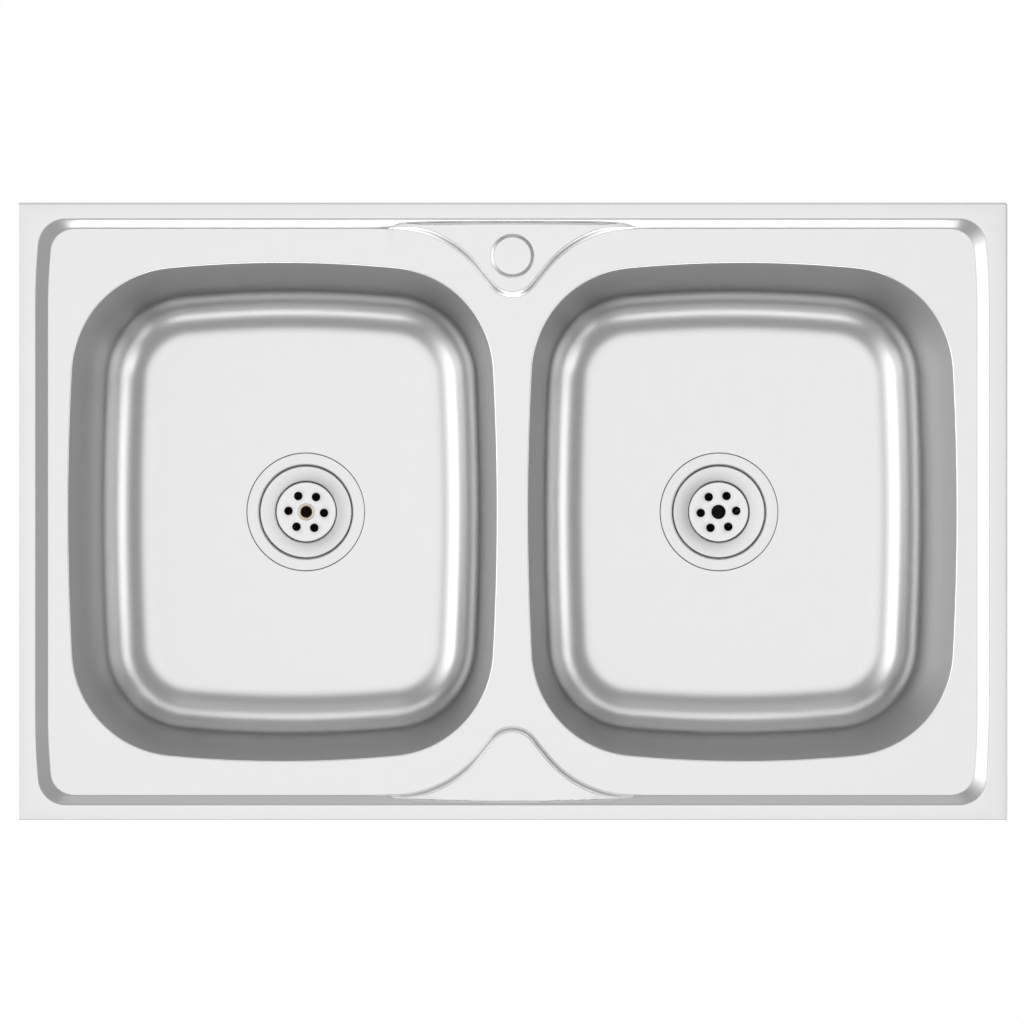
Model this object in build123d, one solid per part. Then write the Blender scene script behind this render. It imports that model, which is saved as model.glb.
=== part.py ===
"""Double bowl kitchen sink for drop-in mounting, with two strainer wastes and eight worktop clips.

Millimetres. The origin is the middle of the sink on the worktop's surface. +X runs along the
long side to the right, +Y to the tap ledge at the back, +Z up.
"""
from build123d import *
import math
import os

# ------------------------------------------------------------------ pressed sheet of the sink
SINK_LENGTH = 800.0          # outer size along X
SINK_WIDTH = 500.0           # outer size along Y
SINK_HEIGHT = 155.0          # rim top to the underside of the bowl floors
SINK_CORNER_R = 2.0          # corners of the rim in plan
SHEET = 0.8                  # stainless sheet
RIM_HEIGHT = 4.0             # rim top above the worktop

# recess of the deck inside the raised rim
RIM_FLAT_SIDE = 14.7         # flat rim at the left and right
RIM_FLAT_END = 13.4          # flat rim at the front and back
STEP_SIDE = 9.9              # width of the sloping step at the left and right
STEP_END = 7.4               # width of the sloping step at the front and back
STEP_DROP = 5.0              # deck below the rim
RECESS_CORNER_R = 21.5       # corner at the top of the step
RECESS_FOOT_R = 20.0         # corner at the foot of the step
RECESS_SWEEP_R = 500.0       # gentle arc that leads each side into its corners
RECESS_SWEEP_ANGLE = 5.4     # how far that arc turns, degrees

# raised islands in the middle of the back and front edge
ISLAND_REACH = 55.1          # from the foot of the step to the tip of the nose
ISLAND_NOSE_R = 22.5
ISLAND_FLANK_R = 87.4
ISLAND_FLANK_ANGLE = 51.0    # slope of the flanks in plan, degrees
ISLAND_EDGE = 2.8            # width of the island's sloping edge
ISLAND_TIP = 0.4             # blunt end of the two thin tips
ISLAND_GROOVE_SLOPE = 45.0   # slope of the groove between island and rim, degrees

# tap hole blank, pressed up from the sheet and knocked out for a tap
TAP_SETBACK = 43.2           # tap hole centre in front of the back edge
TAP_HOLE_R = 17.5
TAP_BLANK_RISE = 1.0
TAP_BLANK_EDGE = 1.6

# bowls
BOWL_MARGIN_SIDE = 40.6      # bowl mouth to the left and right edges
BOWL_MARGIN_END = 48.5       # bowl mouth to the front and back edges
BOWL_BRIDGE = 25.2           # deck between the two bowls
BOWL_SIDE_R = 2150.0         # bulge of the left and right sides
BOWL_END_R = 965.0           # bulge of the front and back
BOWL_CORNER_R = 87.0
BOWL_DRAFT = 7.4             # slope of the walls, degrees
BOWL_FLOOR_R = 40.0          # round from wall to floor

# foam seal under the rim and the sound-deadening pads under the bowls
SEAL_WIDTH = 5.0
SEAL_MARGIN = 2.5            # from the turned-down edge
PAD_THICK = 2.5
PAD_CORNER_R = 8.0
PAD_SIDE_GAP = 12.8          # pad to the rounding at the side of the floor
PAD_END_GAP = 16.0           # pad to the rounding at the back of the floor
PAD_WASTE_GAP = 13.0         # pad to the flange of the waste body

# ------------------------------------------------------------------ wastes
DRAIN_SHIFT = 10.0           # drain centre off the bowl centre, towards the middle of the sink
FLANGE_R = 50.0
FLANGE_GAP = 0.4             # round the flange in its seat
WASTE_HOLE_R = 42.5
CUP_GASKET_THICK = 1.6
CUP_GASKET_WIDTH = 6.6
CUP_MOUTH_R = 40.4
CUP_LIP_DROP = 3.1           # steep lip under the flange
CUP_LIP_RUN = 1.2
CUP_LEDGE_WIDTH = 2.4        # sloping ledge that carries the strainer
CUP_WALL_RUN = 1.6           # taper of the cup's wall
CUP_DEPTH = 33.0
CUP_BOTTOM_BEVEL = 4.0
CUP_HOLE_R = 5.5
CUP_HOLE_COUNT = 8
CUP_HOLE_CIRCLE_R = 21.0

STRAINER_SHEET = 0.7
STRAINER_RIM_GAP = 0.6       # strainer rim to the lip of the cup
STRAINER_SEAT_GAP = 0.3      # over the ledge
STRAINER_SLOPE = 9.5         # cone of the strainer and ledge of the cup, degrees
STRAINER_CONE_DROP = 2.03
STRAINER_STEP_RUN = 1.2      # steep step between cone and plate
STRAINER_STEP_DROP = 3.0
STRAINER_HOLE_R = 3.65
STRAINER_HOLE_COUNT = 6
STRAINER_HOLE_CIRCLE_R = 15.2
STRAINER_CENTRE_R = 6.1
STRAINER_TURN = 3.3          # how far the hole pattern is turned, mirrored on the right, degrees

EYELET_FLANGE_R = 7.25
EYELET_BORE_R = 4.65
EYELET_FLANGE_THICK = 0.5
EYELET_LENGTH = 2.6

CLAMP_GASKET_THICK = 3.0
CLAMP_GASKET_INNER_R = 42.2
CLAMP_GASKET_OUTER_R = 51.5
BODY_FLANGE_R = 53.0
BODY_FLANGE_THICK = 4.0
BODY_WALL = 2.6
BODY_CUP_GAP = 1.2           # round the cup
BODY_FUNNEL_START = 38.0     # below the bowl floor
BODY_FUNNEL_DROP = 13.0
BODY_OUTLET_R = 23.9         # over the thread of a 1 1/2 inch pipe connection
BODY_OUTLET_BORE_R = 19.5
BODY_OUTLET_LENGTH = 22.0
BODY_BOSS_R = 9.0
BODY_BOSS_LENGTH = 19.0
BODY_RIB_THICK = 3.0
BODY_RIB_HEIGHT = 12.0
BODY_RIB_COUNT = 3
BODY_GRIP_COUNT = 12
BODY_GRIP_R = 1.5

INSERT_R = 5.0
INSERT_LENGTH = 11.0
INSERT_DEPTH = 3.0           # below the top of the boss
CLAMP_SCREW_R = 3.0
CLAMP_SCREW_LENGTH = 16.0
CLAMP_HEAD_R = 6.0
CLAMP_HEAD_HEIGHT = 3.5
CLAMP_SOCKET_R = 2.9         # corner radius of the hexagon socket
CLAMP_SOCKET_DEPTH = 2.2
THREAD_GAP = 0.05            # radial gap between a screw and its thread
SCREW_HOLE_GAP = 0.3         # radial gap of a plain screw hole

# ------------------------------------------------------------------ worktop clips
CLIP_END_SPACING = 400.0     # between the two clips of the front or the back
CLIP_SIDE_SPACING = 200.0    # between the two clips of the left or the right
BRACKET_THICK = 1.5
BRACKET_WIDTH = 22.0
BRACKET_BACK = 10.4          # web behind the screw axis
BRACKET_TOP_FRONT = 2.6      # welded top flange in front of the axis
BRACKET_FOOT_FRONT = 8.0     # lower flange in front of the axis
BRACKET_STEP_GAP = 1.0       # welded top flange to the foot of the step
WELD_NUT_FLAT_R = 5.0        # half the width across flats
WELD_NUT_HEIGHT = 5.0

CLIP_SCREW_R = 3.0
CLIP_TRAVEL = 20.0
CLIP_TIP_GAP = 1.7           # tip of the raised screw under the top flange
CLIP_REST_DEPTH = 48.0       # top of the lowered jaw's teeth below the worktop's surface
CLIP_SCREW_HOLD = 6.5        # screw tip above the lower end of the weld nut when lowered
CLIP_HEAD_R = 5.0
CLIP_HEAD_HEIGHT = 4.0
CLIP_SOCKET_R = 2.9
CLIP_SOCKET_DEPTH = 2.4
COLLAR_R = 5.0
COLLAR_FLANGE_R = 6.8
COLLAR_FLANGE_THICK = 1.4
COLLAR_SCREW_GAP = 0.1       # radial, round the turning screw
COLLAR_PLAY = 0.15           # axial, each side of the jaw and under the screw head
JAW_THICK = 2.0
JAW_WIDTH = 16.0
JAW_LENGTH = 30.0            # screw axis to the tip
JAW_TOOTH_HEIGHT = 6.0
JAW_TOOTH_THICK = 2.0
JAW_TOOTH_COUNT = 4
JAW_TOOTH_NOTCH = 1.4
JAW_BORE_GAP = 0.08          # radial, round the collar

# ------------------------------------------------------------------ levels and places worked out
RIM_TOP = RIM_HEIGHT
DECK_TOP = RIM_TOP - STEP_DROP
DECK_UNDER = DECK_TOP - SHEET
FLOOR_TOP = RIM_TOP - SINK_HEIGHT + SHEET
BOWL_DEPTH = DECK_TOP - FLOOR_TOP
SEAT_DEPTH = SHEET + CUP_GASKET_THICK
SEAT_TOP = FLOOR_TOP - SEAT_DEPTH
SEAT_UNDER = SEAT_TOP - SHEET
HALF_LENGTH = SINK_LENGTH / 2
HALF_WIDTH = SINK_WIDTH / 2
STEP_FOOT_X = HALF_LENGTH - RIM_FLAT_SIDE - STEP_SIDE
STEP_FOOT_Y = HALF_WIDTH - RIM_FLAT_END - STEP_END
TAP_Y = HALF_WIDTH - TAP_SETBACK
BOWL_LENGTH = HALF_LENGTH - BOWL_BRIDGE / 2 - BOWL_MARGIN_SIDE
BOWL_WIDTH = SINK_WIDTH - 2 * BOWL_MARGIN_END
BOWL_SPACING = BOWL_LENGTH + BOWL_BRIDGE
DRAIN_SPACING = BOWL_SPACING - 2 * DRAIN_SHIFT

# flat part of a bowl floor, inside its draft and its rounding
FLOOR_INSET = (BOWL_DEPTH * math.tan(math.radians(BOWL_DRAFT))
               + BOWL_FLOOR_R * math.tan(math.radians(45 - BOWL_DRAFT / 2)))
PAD_LENGTH = BOWL_LENGTH - 2 * (FLOOR_INSET + DRAIN_SHIFT + PAD_SIDE_GAP)
PAD_FRONT = BODY_FLANGE_R + PAD_WASTE_GAP
PAD_WIDTH = BOWL_WIDTH / 2 - FLOOR_INSET - PAD_END_GAP - PAD_FRONT

SIDES = {"left": -1, "right": 1}

CLIPS = {}
CLIP_SETBACK = BRACKET_STEP_GAP + BRACKET_TOP_FRONT
for end, y_sign in (("front", -1), ("back", 1)):
    for side, x_sign in SIDES.items():
        CLIPS[f"{end}_{side}"] = (x_sign * CLIP_END_SPACING / 2,
                                  y_sign * (STEP_FOOT_Y - CLIP_SETBACK), 90 * y_sign)
for side, x_sign in SIDES.items():
    for end, y_sign in (("front", -1), ("back", 1)):
        CLIPS[f"{side}_{end}"] = (x_sign * (STEP_FOOT_X - CLIP_SETBACK),
                                  y_sign * CLIP_SIDE_SPACING / 2, 90 - 90 * x_sign)

# levels of a lowered clip; the bracket is as high as the screw's climb needs
BRACKET_HEIGHT = BRACKET_THICK + CLIP_TIP_GAP + CLIP_TRAVEL + CLIP_SCREW_HOLD - WELD_NUT_HEIGHT
FOOT_UNDER = DECK_UNDER - BRACKET_HEIGHT
WELD_NUT_UNDER = FOOT_UNDER - WELD_NUT_HEIGHT
JAW_TOP = -CLIP_REST_DEPTH - JAW_TOOTH_HEIGHT
JAW_UNDER = JAW_TOP - JAW_THICK
COLLAR_UNDER = JAW_UNDER - COLLAR_PLAY - COLLAR_FLANGE_THICK
CLIP_HEAD_TOP = COLLAR_UNDER - COLLAR_PLAY
CLIP_SCREW_TIP = WELD_NUT_UNDER + CLIP_SCREW_HOLD


# ------------------------------------------------------------------ outlines and small helpers
def drum(radius, low, high):
    """Upright cylinder between two levels."""
    return Pos(0, 0, (low + high) / 2) * Cylinder(radius, high - low)


def block(x_low, x_high, y_low, y_high, low, high):
    """Box between six coordinates."""
    middle = Pos((x_low + x_high) / 2, (y_low + y_high) / 2, (low + high) / 2)
    return middle * Box(x_high - x_low, y_high - y_low, high - low)


def ring_of(count, radius, shape, turn=0.0):
    """Copies of a shape round the Z axis, as one list."""
    return [loc * shape for loc in PolarLocations(radius, count, turn)]


def lathe(points):
    """Solid of revolution from its half section, a list of (radius, z)."""
    section = make_face(Polyline(*[(r, 0, z) for r, z in points], close=True))
    return revolve(section, Axis.Z)


def sheet_lathe(points, thickness):
    """Turned sheet whose upper side follows the points, from the outside inwards."""
    under = []
    for i, (r, z) in enumerate(points):
        before = points[max(i - 1, 0)]
        after = points[min(i + 1, len(points) - 1)]
        first = (r - before[0], z - before[1]) if i else (after[0] - r, after[1] - z)
        last = (after[0] - r, after[1] - z) if i < len(points) - 1 else first
        a1 = math.atan2(first[1], first[0])
        a2 = math.atan2(last[1], last[0])
        mitre = thickness / math.cos((a2 - a1) / 2)
        normal = (a1 + a2) / 2 + math.pi / 2
        under.append((r + mitre * math.cos(normal), z + mitre * math.sin(normal)))
    return lathe(points + under[::-1])


def barrel_face(grow=0.0):
    """Mouth outline of a bowl, eight tangent arcs, grown sideways and set round the origin."""
    half_x = BOWL_LENGTH / 2
    half_y = BOWL_WIDTH / 2
    side_x = half_x - BOWL_SIDE_R
    end_y = half_y - BOWL_END_R
    # the corner arc's centre is where it touches the side arc and the end arc
    side_reach = BOWL_SIDE_R - BOWL_CORNER_R
    end_reach = BOWL_END_R - BOWL_CORNER_R
    apart = math.hypot(side_x, end_y)
    along = (side_reach ** 2 - end_reach ** 2 + apart ** 2) / (2 * apart)
    across = math.sqrt(side_reach ** 2 - along ** 2)
    line = (-side_x / apart, end_y / apart)
    corner_x = side_x + along * line[0] - across * line[1]
    corner_y = along * line[1] + across * line[0]
    side_turn = math.degrees(math.atan2(corner_y, corner_x - side_x))
    end_turn = math.degrees(math.atan2(corner_y - end_y, corner_x))
    side_r = BOWL_SIDE_R + grow
    end_r = BOWL_END_R + grow
    corner_r = BOWL_CORNER_R + grow
    corner_size = end_turn - side_turn
    arcs = [
        CenterArc((side_x, 0), side_r, -side_turn, 2 * side_turn),
        CenterArc((corner_x, corner_y), corner_r, side_turn, corner_size),
        CenterArc((0, end_y), end_r, end_turn, 180 - 2 * end_turn),
        CenterArc((-corner_x, corner_y), corner_r, 180 - end_turn, corner_size),
        CenterArc((-side_x, 0), side_r, 180 - side_turn, 2 * side_turn),
        CenterArc((-corner_x, -corner_y), corner_r, 180 + side_turn, corner_size),
        CenterArc((0, -end_y), end_r, 180 + end_turn, 180 - 2 * end_turn),
        CenterArc((corner_x, -corner_y), corner_r, -end_turn, corner_size),
    ]
    return make_face(arcs)


def recess_face(half_x, half_y, corner_r):
    """Outline of the recess: straight sides, a gentle sweep into each corner, then the corner."""
    turn = RECESS_SWEEP_ANGLE
    reach = RECESS_SWEEP_R - corner_r
    sweep_y = half_y - corner_r - reach * math.sin(math.radians(turn))
    sweep_x = half_x - RECESS_SWEEP_R
    corner_x = sweep_x + reach * math.cos(math.radians(turn))
    corner_y = half_y - corner_r
    edges = [
        Line((half_x, -sweep_y), (half_x, sweep_y)),
        CenterArc((sweep_x, sweep_y), RECESS_SWEEP_R, 0, turn),
        CenterArc((corner_x, corner_y), corner_r, turn, 90 - turn),
        Line((corner_x, half_y), (-corner_x, half_y)),
        CenterArc((-corner_x, corner_y), corner_r, 90, 90 - turn),
        CenterArc((-sweep_x, sweep_y), RECESS_SWEEP_R, 180 - turn, turn),
        Line((-half_x, sweep_y), (-half_x, -sweep_y)),
        CenterArc((-sweep_x, -sweep_y), RECESS_SWEEP_R, 180, turn),
        CenterArc((-corner_x, -corner_y), corner_r, 180 + turn, 90 - turn),
        Line((-corner_x, -half_y), (corner_x, -half_y)),
        CenterArc((corner_x, -corner_y), corner_r, 270, 90 - turn),
        CenterArc((sweep_x, -sweep_y), RECESS_SWEEP_R, -turn, turn),
    ]
    return make_face(edges)


def island_face(inset, back_y):
    """Bell outline of the rear island, its edge moved inwards, closed by a line at back_y."""
    turn = math.radians(ISLAND_FLANK_ANGLE)
    drop = 1 - math.cos(turn)
    most = ISLAND_REACH / drop - ISLAND_NOSE_R
    flank_start = min(ISLAND_FLANK_R, 0.98 * most)
    line = (ISLAND_REACH - (ISLAND_NOSE_R + flank_start) * drop) / math.sin(turn)
    flank_x = (ISLAND_NOSE_R + flank_start) * math.sin(turn) + line * math.cos(turn)
    flank_y = STEP_FOOT_Y - flank_start
    nose_y = STEP_FOOT_Y - ISLAND_REACH + ISLAND_NOSE_R
    nose_r = ISLAND_NOSE_R - inset
    flank_r = flank_start + inset
    angle = ISLAND_FLANK_ANGLE
    right_flank = CenterArc((flank_x, flank_y), flank_r, 90, angle)
    left_flank = CenterArc((-flank_x, flank_y), flank_r, 90 - angle, angle)
    nose = CenterArc((0, nose_y), nose_r, -90 - angle, 2 * angle)
    edges = [
        right_flank,
        Line(right_flank @ 1, nose @ 1),
        nose,
        Line(nose @ 0, left_flank @ 0),
        left_flank,
        Line(left_flank @ 1, (-flank_x, back_y)),
        Line((-flank_x, back_y), (flank_x, back_y)),
        Line((flank_x, back_y), right_flank @ 0),
    ]
    return make_face(edges)


def island_block(lower):
    """Solid of the rear island between the deck and the rim level, the whole moved down."""
    back_y = STEP_FOOT_Y + ISLAND_EDGE + ISLAND_TIP
    groove_run = STEP_DROP / math.tan(math.radians(ISLAND_GROOVE_SLOPE))
    foot = Pos(0, 0, DECK_TOP - lower) * island_face(0, back_y + groove_run)
    top = Pos(0, 0, RIM_TOP - lower) * island_face(ISLAND_EDGE, back_y)
    return loft([foot, top], ruled=True)


def relief_volume(lower, inset, bottom):
    """Everything under the pressed upper surface, moved down and drawn in from the edge."""
    outline = RectangleRounded(SINK_LENGTH - 2 * inset, SINK_WIDTH - 2 * inset,
                               max(SINK_CORNER_R - inset, 0.5))
    volume = extrude(Pos(0, 0, bottom) * outline, RIM_TOP - lower - bottom)
    mouth = Pos(0, 0, RIM_TOP - lower) * recess_face(
        STEP_FOOT_X + STEP_SIDE, STEP_FOOT_Y + STEP_END, RECESS_CORNER_R)
    foot = Pos(0, 0, DECK_TOP - lower) * recess_face(STEP_FOOT_X, STEP_FOOT_Y, RECESS_FOOT_R)
    volume -= loft([foot, mouth], ruled=True)
    island = island_block(lower)
    return volume + island + Rot(0, 0, 180) * island


# ------------------------------------------------------------------ sink body
def make_deck():
    """Pressed deck with raised rim, turned-down edge, islands, bowl mouths and tap hole."""
    below = DECK_UNDER - STEP_DROP
    deck = relief_volume(0, 0, below) - relief_volume(SHEET, SHEET, below)
    hem = Box(SINK_LENGTH + 2 * SHEET, SINK_WIDTH + 2 * SHEET, -2 * below)
    hem -= Box(SINK_LENGTH - 4 * SHEET, SINK_WIDTH - 4 * SHEET, -2 * below)
    deck -= Pos(0, 0, below) * hem
    for x_sign in SIDES.values():
        mouth = Pos(x_sign * BOWL_SPACING / 2, 0, below) * barrel_face(bowl_wall_shift())
        deck -= extrude(mouth, RIM_TOP - below)
    return deck - Pos(0, TAP_Y, 0) * drum(TAP_HOLE_R, below, RIM_TOP + STEP_DROP)


def make_tap_blank():
    """Shallow cap of sheet, pressed up in the tap hole and held by its scored edge."""
    top = RIM_TOP + TAP_BLANK_RISE
    cap = sheet_lathe([(TAP_HOLE_R, RIM_TOP), (TAP_HOLE_R - TAP_BLANK_EDGE, top), (0, top)], SHEET)
    cap &= drum(TAP_HOLE_R, RIM_TOP - 2 * SHEET, top)
    return Pos(0, TAP_Y, 0) * cap


def bowl_wall_shift():
    """Sideways thickness of the sloping bowl wall."""
    return SHEET / math.cos(math.radians(BOWL_DRAFT))


def bowl_volume(grow, deeper):
    """Filled bowl, its outline grown sideways and its floor set deeper."""
    depth = BOWL_DEPTH + deeper
    volume = extrude(Pos(0, 0, DECK_TOP) * barrel_face(grow), depth, dir=(0, 0, -1),
                     taper=BOWL_DRAFT)
    floor_edges = volume.edges().group_by(Axis.Z)[0]
    return fillet(floor_edges, BOWL_FLOOR_R + deeper)


def drawn_bowl(side):
    """Bowl with sloping walls, rounded floor and a sunk seat for the waste flange."""
    x_sign = SIDES[side]
    drain = Pos(-x_sign * DRAIN_SHIFT, 0, 0)
    seat_r = FLANGE_R + FLANGE_GAP
    bowl = bowl_volume(bowl_wall_shift(), SHEET)
    bowl += drain * drum(seat_r + SHEET, SEAT_UNDER, FLOOR_TOP)
    bowl -= bowl_volume(0, 0)
    bowl -= drain * drum(seat_r, SEAT_TOP, FLOOR_TOP + SHEET)
    bowl -= drain * drum(WASTE_HOLE_R, SEAT_UNDER - SHEET, FLOOR_TOP)
    return Pos(x_sign * BOWL_SPACING / 2, 0, 0) * bowl


def floor_zone(side):
    """Upright block over the flat part of a bowl's floor."""
    outline = Pos(SIDES[side] * BOWL_SPACING / 2, 0, SEAT_UNDER - SHEET) * barrel_face(-FLOOR_INSET)
    return extrude(outline, BOWL_DEPTH)


def make_bowl(side):
    """Walls of a drawn bowl and its rounding, down to the flat floor."""
    return drawn_bowl(side) - floor_zone(side)


def make_bowl_floor(side):
    """Flat floor of a drawn bowl, with the seat; in one sheet with the walls."""
    return drawn_bowl(side) & floor_zone(side)


def make_rim_seal():
    """Foam strip between the underside of the rim and the worktop."""
    margin = SHEET + SEAL_MARGIN
    outer = RectangleRounded(SINK_LENGTH - 2 * margin, SINK_WIDTH - 2 * margin, SEAL_WIDTH + 1)
    inner_cut = margin + SEAL_WIDTH
    inner = Rectangle(SINK_LENGTH - 2 * inner_cut, SINK_WIDTH - 2 * inner_cut)
    return extrude(outer - inner, RIM_HEIGHT - SHEET)


def make_sound_pad(side):
    """Self-adhesive damping pad under the bowl floor, behind the waste."""
    outline = RectangleRounded(PAD_LENGTH, PAD_WIDTH, PAD_CORNER_R)
    pad = extrude(outline, PAD_THICK)
    middle_y = PAD_FRONT + PAD_WIDTH / 2
    return Pos(SIDES[side] * DRAIN_SPACING / 2, middle_y, FLOOR_TOP - SHEET - PAD_THICK) * pad


# ------------------------------------------------------------------ wastes, built round the drain's axis
def drain_place(side):
    """Drain centre on the bowl floor."""
    return Pos(SIDES[side] * DRAIN_SPACING / 2, 0, FLOOR_TOP)


LIP_FOOT_R = CUP_MOUTH_R - CUP_LIP_RUN
LEDGE_R = LIP_FOOT_R - CUP_LEDGE_WIDTH
LEDGE_Z = -CUP_LIP_DROP - CUP_LEDGE_WIDTH * math.tan(math.radians(STRAINER_SLOPE))
CUP_WALL_FOOT_R = LEDGE_R - CUP_WALL_RUN
BOSS_TOP = -CUP_DEPTH - SHEET
STRAINER_R = LIP_FOOT_R - STRAINER_RIM_GAP


def make_waste_cup():
    """Pressed cup: flange, steep lip, ledge for the strainer, wall and perforated bottom."""
    points = [
        (FLANGE_R, 0),
        (CUP_MOUTH_R, 0),
        (LIP_FOOT_R, -CUP_LIP_DROP),
        (LEDGE_R, LEDGE_Z),
        (CUP_WALL_FOOT_R, -CUP_DEPTH + CUP_BOTTOM_BEVEL),
        (CUP_WALL_FOOT_R - CUP_BOTTOM_BEVEL, -CUP_DEPTH),
        (CLAMP_SCREW_R + SCREW_HOLE_GAP, -CUP_DEPTH),
    ]
    cup = sheet_lathe(points, SHEET)
    hole = drum(CUP_HOLE_R, -CUP_DEPTH - 2 * SHEET, -CUP_DEPTH + SHEET)
    return cup - ring_of(CUP_HOLE_COUNT, CUP_HOLE_CIRCLE_R, hole)


def strainer_levels():
    """Levels of the strainer's upper side: rim, foot of the cone, plate."""
    slope = math.radians(STRAINER_SLOPE)
    over_ledge = (LIP_FOOT_R - STRAINER_R) * math.tan(slope)
    rim = -CUP_LIP_DROP - over_ledge + (STRAINER_SHEET + STRAINER_SEAT_GAP) / math.cos(slope)
    cone = rim - STRAINER_CONE_DROP
    return rim, cone, cone - STRAINER_STEP_DROP


def strainer_plate_r():
    """Outer radius of the perforated plate."""
    cone_run = STRAINER_CONE_DROP / math.tan(math.radians(STRAINER_SLOPE))
    return STRAINER_R - cone_run - STRAINER_STEP_RUN


def make_strainer(side):
    """Lift-out strainer: conical dish with a perforated plate and a centre hole."""
    rim, cone, plate = strainer_levels()
    plate_r = strainer_plate_r()
    points = [
        (STRAINER_R, rim),
        (plate_r + STRAINER_STEP_RUN, cone),
        (plate_r, plate),
        (STRAINER_CENTRE_R, plate),
    ]
    dish = sheet_lathe(points, STRAINER_SHEET)
    hole = drum(STRAINER_HOLE_R, plate - 2 * STRAINER_SHEET, plate + STRAINER_SHEET)
    return dish - ring_of(STRAINER_HOLE_COUNT, STRAINER_HOLE_CIRCLE_R, hole,
                          SIDES[side] * STRAINER_TURN)


def make_eyelet():
    """Brass eyelet pressed into the strainer's centre hole."""
    plate = strainer_levels()[2]
    eyelet = drum(EYELET_FLANGE_R, plate, plate + EYELET_FLANGE_THICK)
    eyelet += drum(STRAINER_CENTRE_R, plate - EYELET_LENGTH, plate)
    return eyelet - drum(EYELET_BORE_R, plate - 2 * EYELET_LENGTH, plate + EYELET_LENGTH)


def make_cup_gasket():
    """Flat rubber ring under the cup's flange."""
    top = -SHEET
    low = top - CUP_GASKET_THICK
    return drum(FLANGE_R, low, top) - drum(FLANGE_R - CUP_GASKET_WIDTH, low - 1, top + 1)


GASKET_TOP = -SEAT_DEPTH - SHEET
BODY_TOP = GASKET_TOP - CLAMP_GASKET_THICK
BODY_BORE_R = LIP_FOOT_R + SHEET + BODY_CUP_GAP
BODY_OUTER_R = BODY_BORE_R + BODY_WALL
FUNNEL_FOOT = -BODY_FUNNEL_START - BODY_FUNNEL_DROP
BODY_END = FUNNEL_FOOT - BODY_OUTLET_LENGTH


def make_clamp_gasket():
    """Thick rubber ring between the bowl's underside and the waste body."""
    return (drum(CLAMP_GASKET_OUTER_R, BODY_TOP, GASKET_TOP)
            - drum(CLAMP_GASKET_INNER_R, BODY_TOP - 1, GASKET_TOP + 1))


def waste_inside():
    """Space inside the waste body, from above its flange to the start of the outlet."""
    return lathe([
        (0, BODY_TOP + 1), (BODY_BORE_R, BODY_TOP + 1),
        (BODY_BORE_R, BODY_WALL - BODY_FUNNEL_START), (BODY_OUTLET_BORE_R, FUNNEL_FOOT),
        (BODY_OUTLET_BORE_R, BODY_END), (0, BODY_END),
    ])


def make_waste_body():
    """Moulded housing: clamping flange, grips and funnel."""
    body = lathe([
        (0, BODY_TOP), (BODY_FLANGE_R, BODY_TOP), (BODY_FLANGE_R, BODY_TOP - BODY_FLANGE_THICK),
        (BODY_OUTER_R, BODY_TOP - BODY_FLANGE_THICK), (BODY_OUTER_R, -BODY_FUNNEL_START),
        (BODY_OUTLET_R, FUNNEL_FOOT), (0, FUNNEL_FOOT),
    ])
    grip = drum(BODY_GRIP_R, -BODY_FUNNEL_START, BODY_TOP - BODY_FLANGE_THICK)
    body += ring_of(BODY_GRIP_COUNT, BODY_OUTER_R, grip, 180 / BODY_GRIP_COUNT)
    return body - waste_inside()


def make_waste_outlet():
    """Outlet of the waste body, moulded in one with it, over the crests of its thread."""
    return drum(BODY_OUTLET_R, BODY_END, FUNNEL_FOOT) - waste_inside()


def make_waste_spider():
    """Boss for the clamp screw on three ribs, moulded in one with the waste body."""
    boss_foot = BOSS_TOP - BODY_BOSS_LENGTH
    spider = drum(BODY_BOSS_R, boss_foot, BOSS_TOP)
    rib = block(0, 2 * BODY_OUTER_R, -BODY_RIB_THICK / 2, BODY_RIB_THICK / 2,
                boss_foot, boss_foot + BODY_RIB_HEIGHT)
    spider += ring_of(BODY_RIB_COUNT, 0, rib)
    spider &= waste_inside()
    spider -= drum(CLAMP_SCREW_R + SCREW_HOLE_GAP, boss_foot - 1, BOSS_TOP + 1)
    insert_top = BOSS_TOP - INSERT_DEPTH
    return spider - drum(INSERT_R, insert_top - INSERT_LENGTH, insert_top)


def make_insert():
    """Threaded brass insert in the boss of the spider."""
    top = BOSS_TOP - INSERT_DEPTH
    low = top - INSERT_LENGTH
    return drum(INSERT_R, low, top) - drum(CLAMP_SCREW_R + THREAD_GAP, low - 1, top + 1)


def socket_cut(corner_r, depth):
    """Hexagon socket that opens downwards from z = 0 upwards by its depth."""
    return extrude(RegularPolygon(corner_r, 6), depth)


def make_clamp_screw():
    """Brass screw that draws the cup down on to the waste body."""
    top = -CUP_DEPTH + CLAMP_HEAD_HEIGHT
    screw = drum(CLAMP_HEAD_R, -CUP_DEPTH, top)
    screw += drum(CLAMP_SCREW_R, -CUP_DEPTH - CLAMP_SCREW_LENGTH, -CUP_DEPTH)
    return screw - Pos(0, 0, top - CLAMP_SOCKET_DEPTH) * socket_cut(CLAMP_SOCKET_R, CLAMP_SOCKET_DEPTH)


# ------------------------------------------------------------------ clips, built round the screw's axis
def clip_place(name):
    """Clip axis at the worktop's surface, turned so that its own +X points out of the sink."""
    x, y, turn = CLIPS[name]
    return Pos(x, y, 0) * Rot(0, 0, turn)


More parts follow.
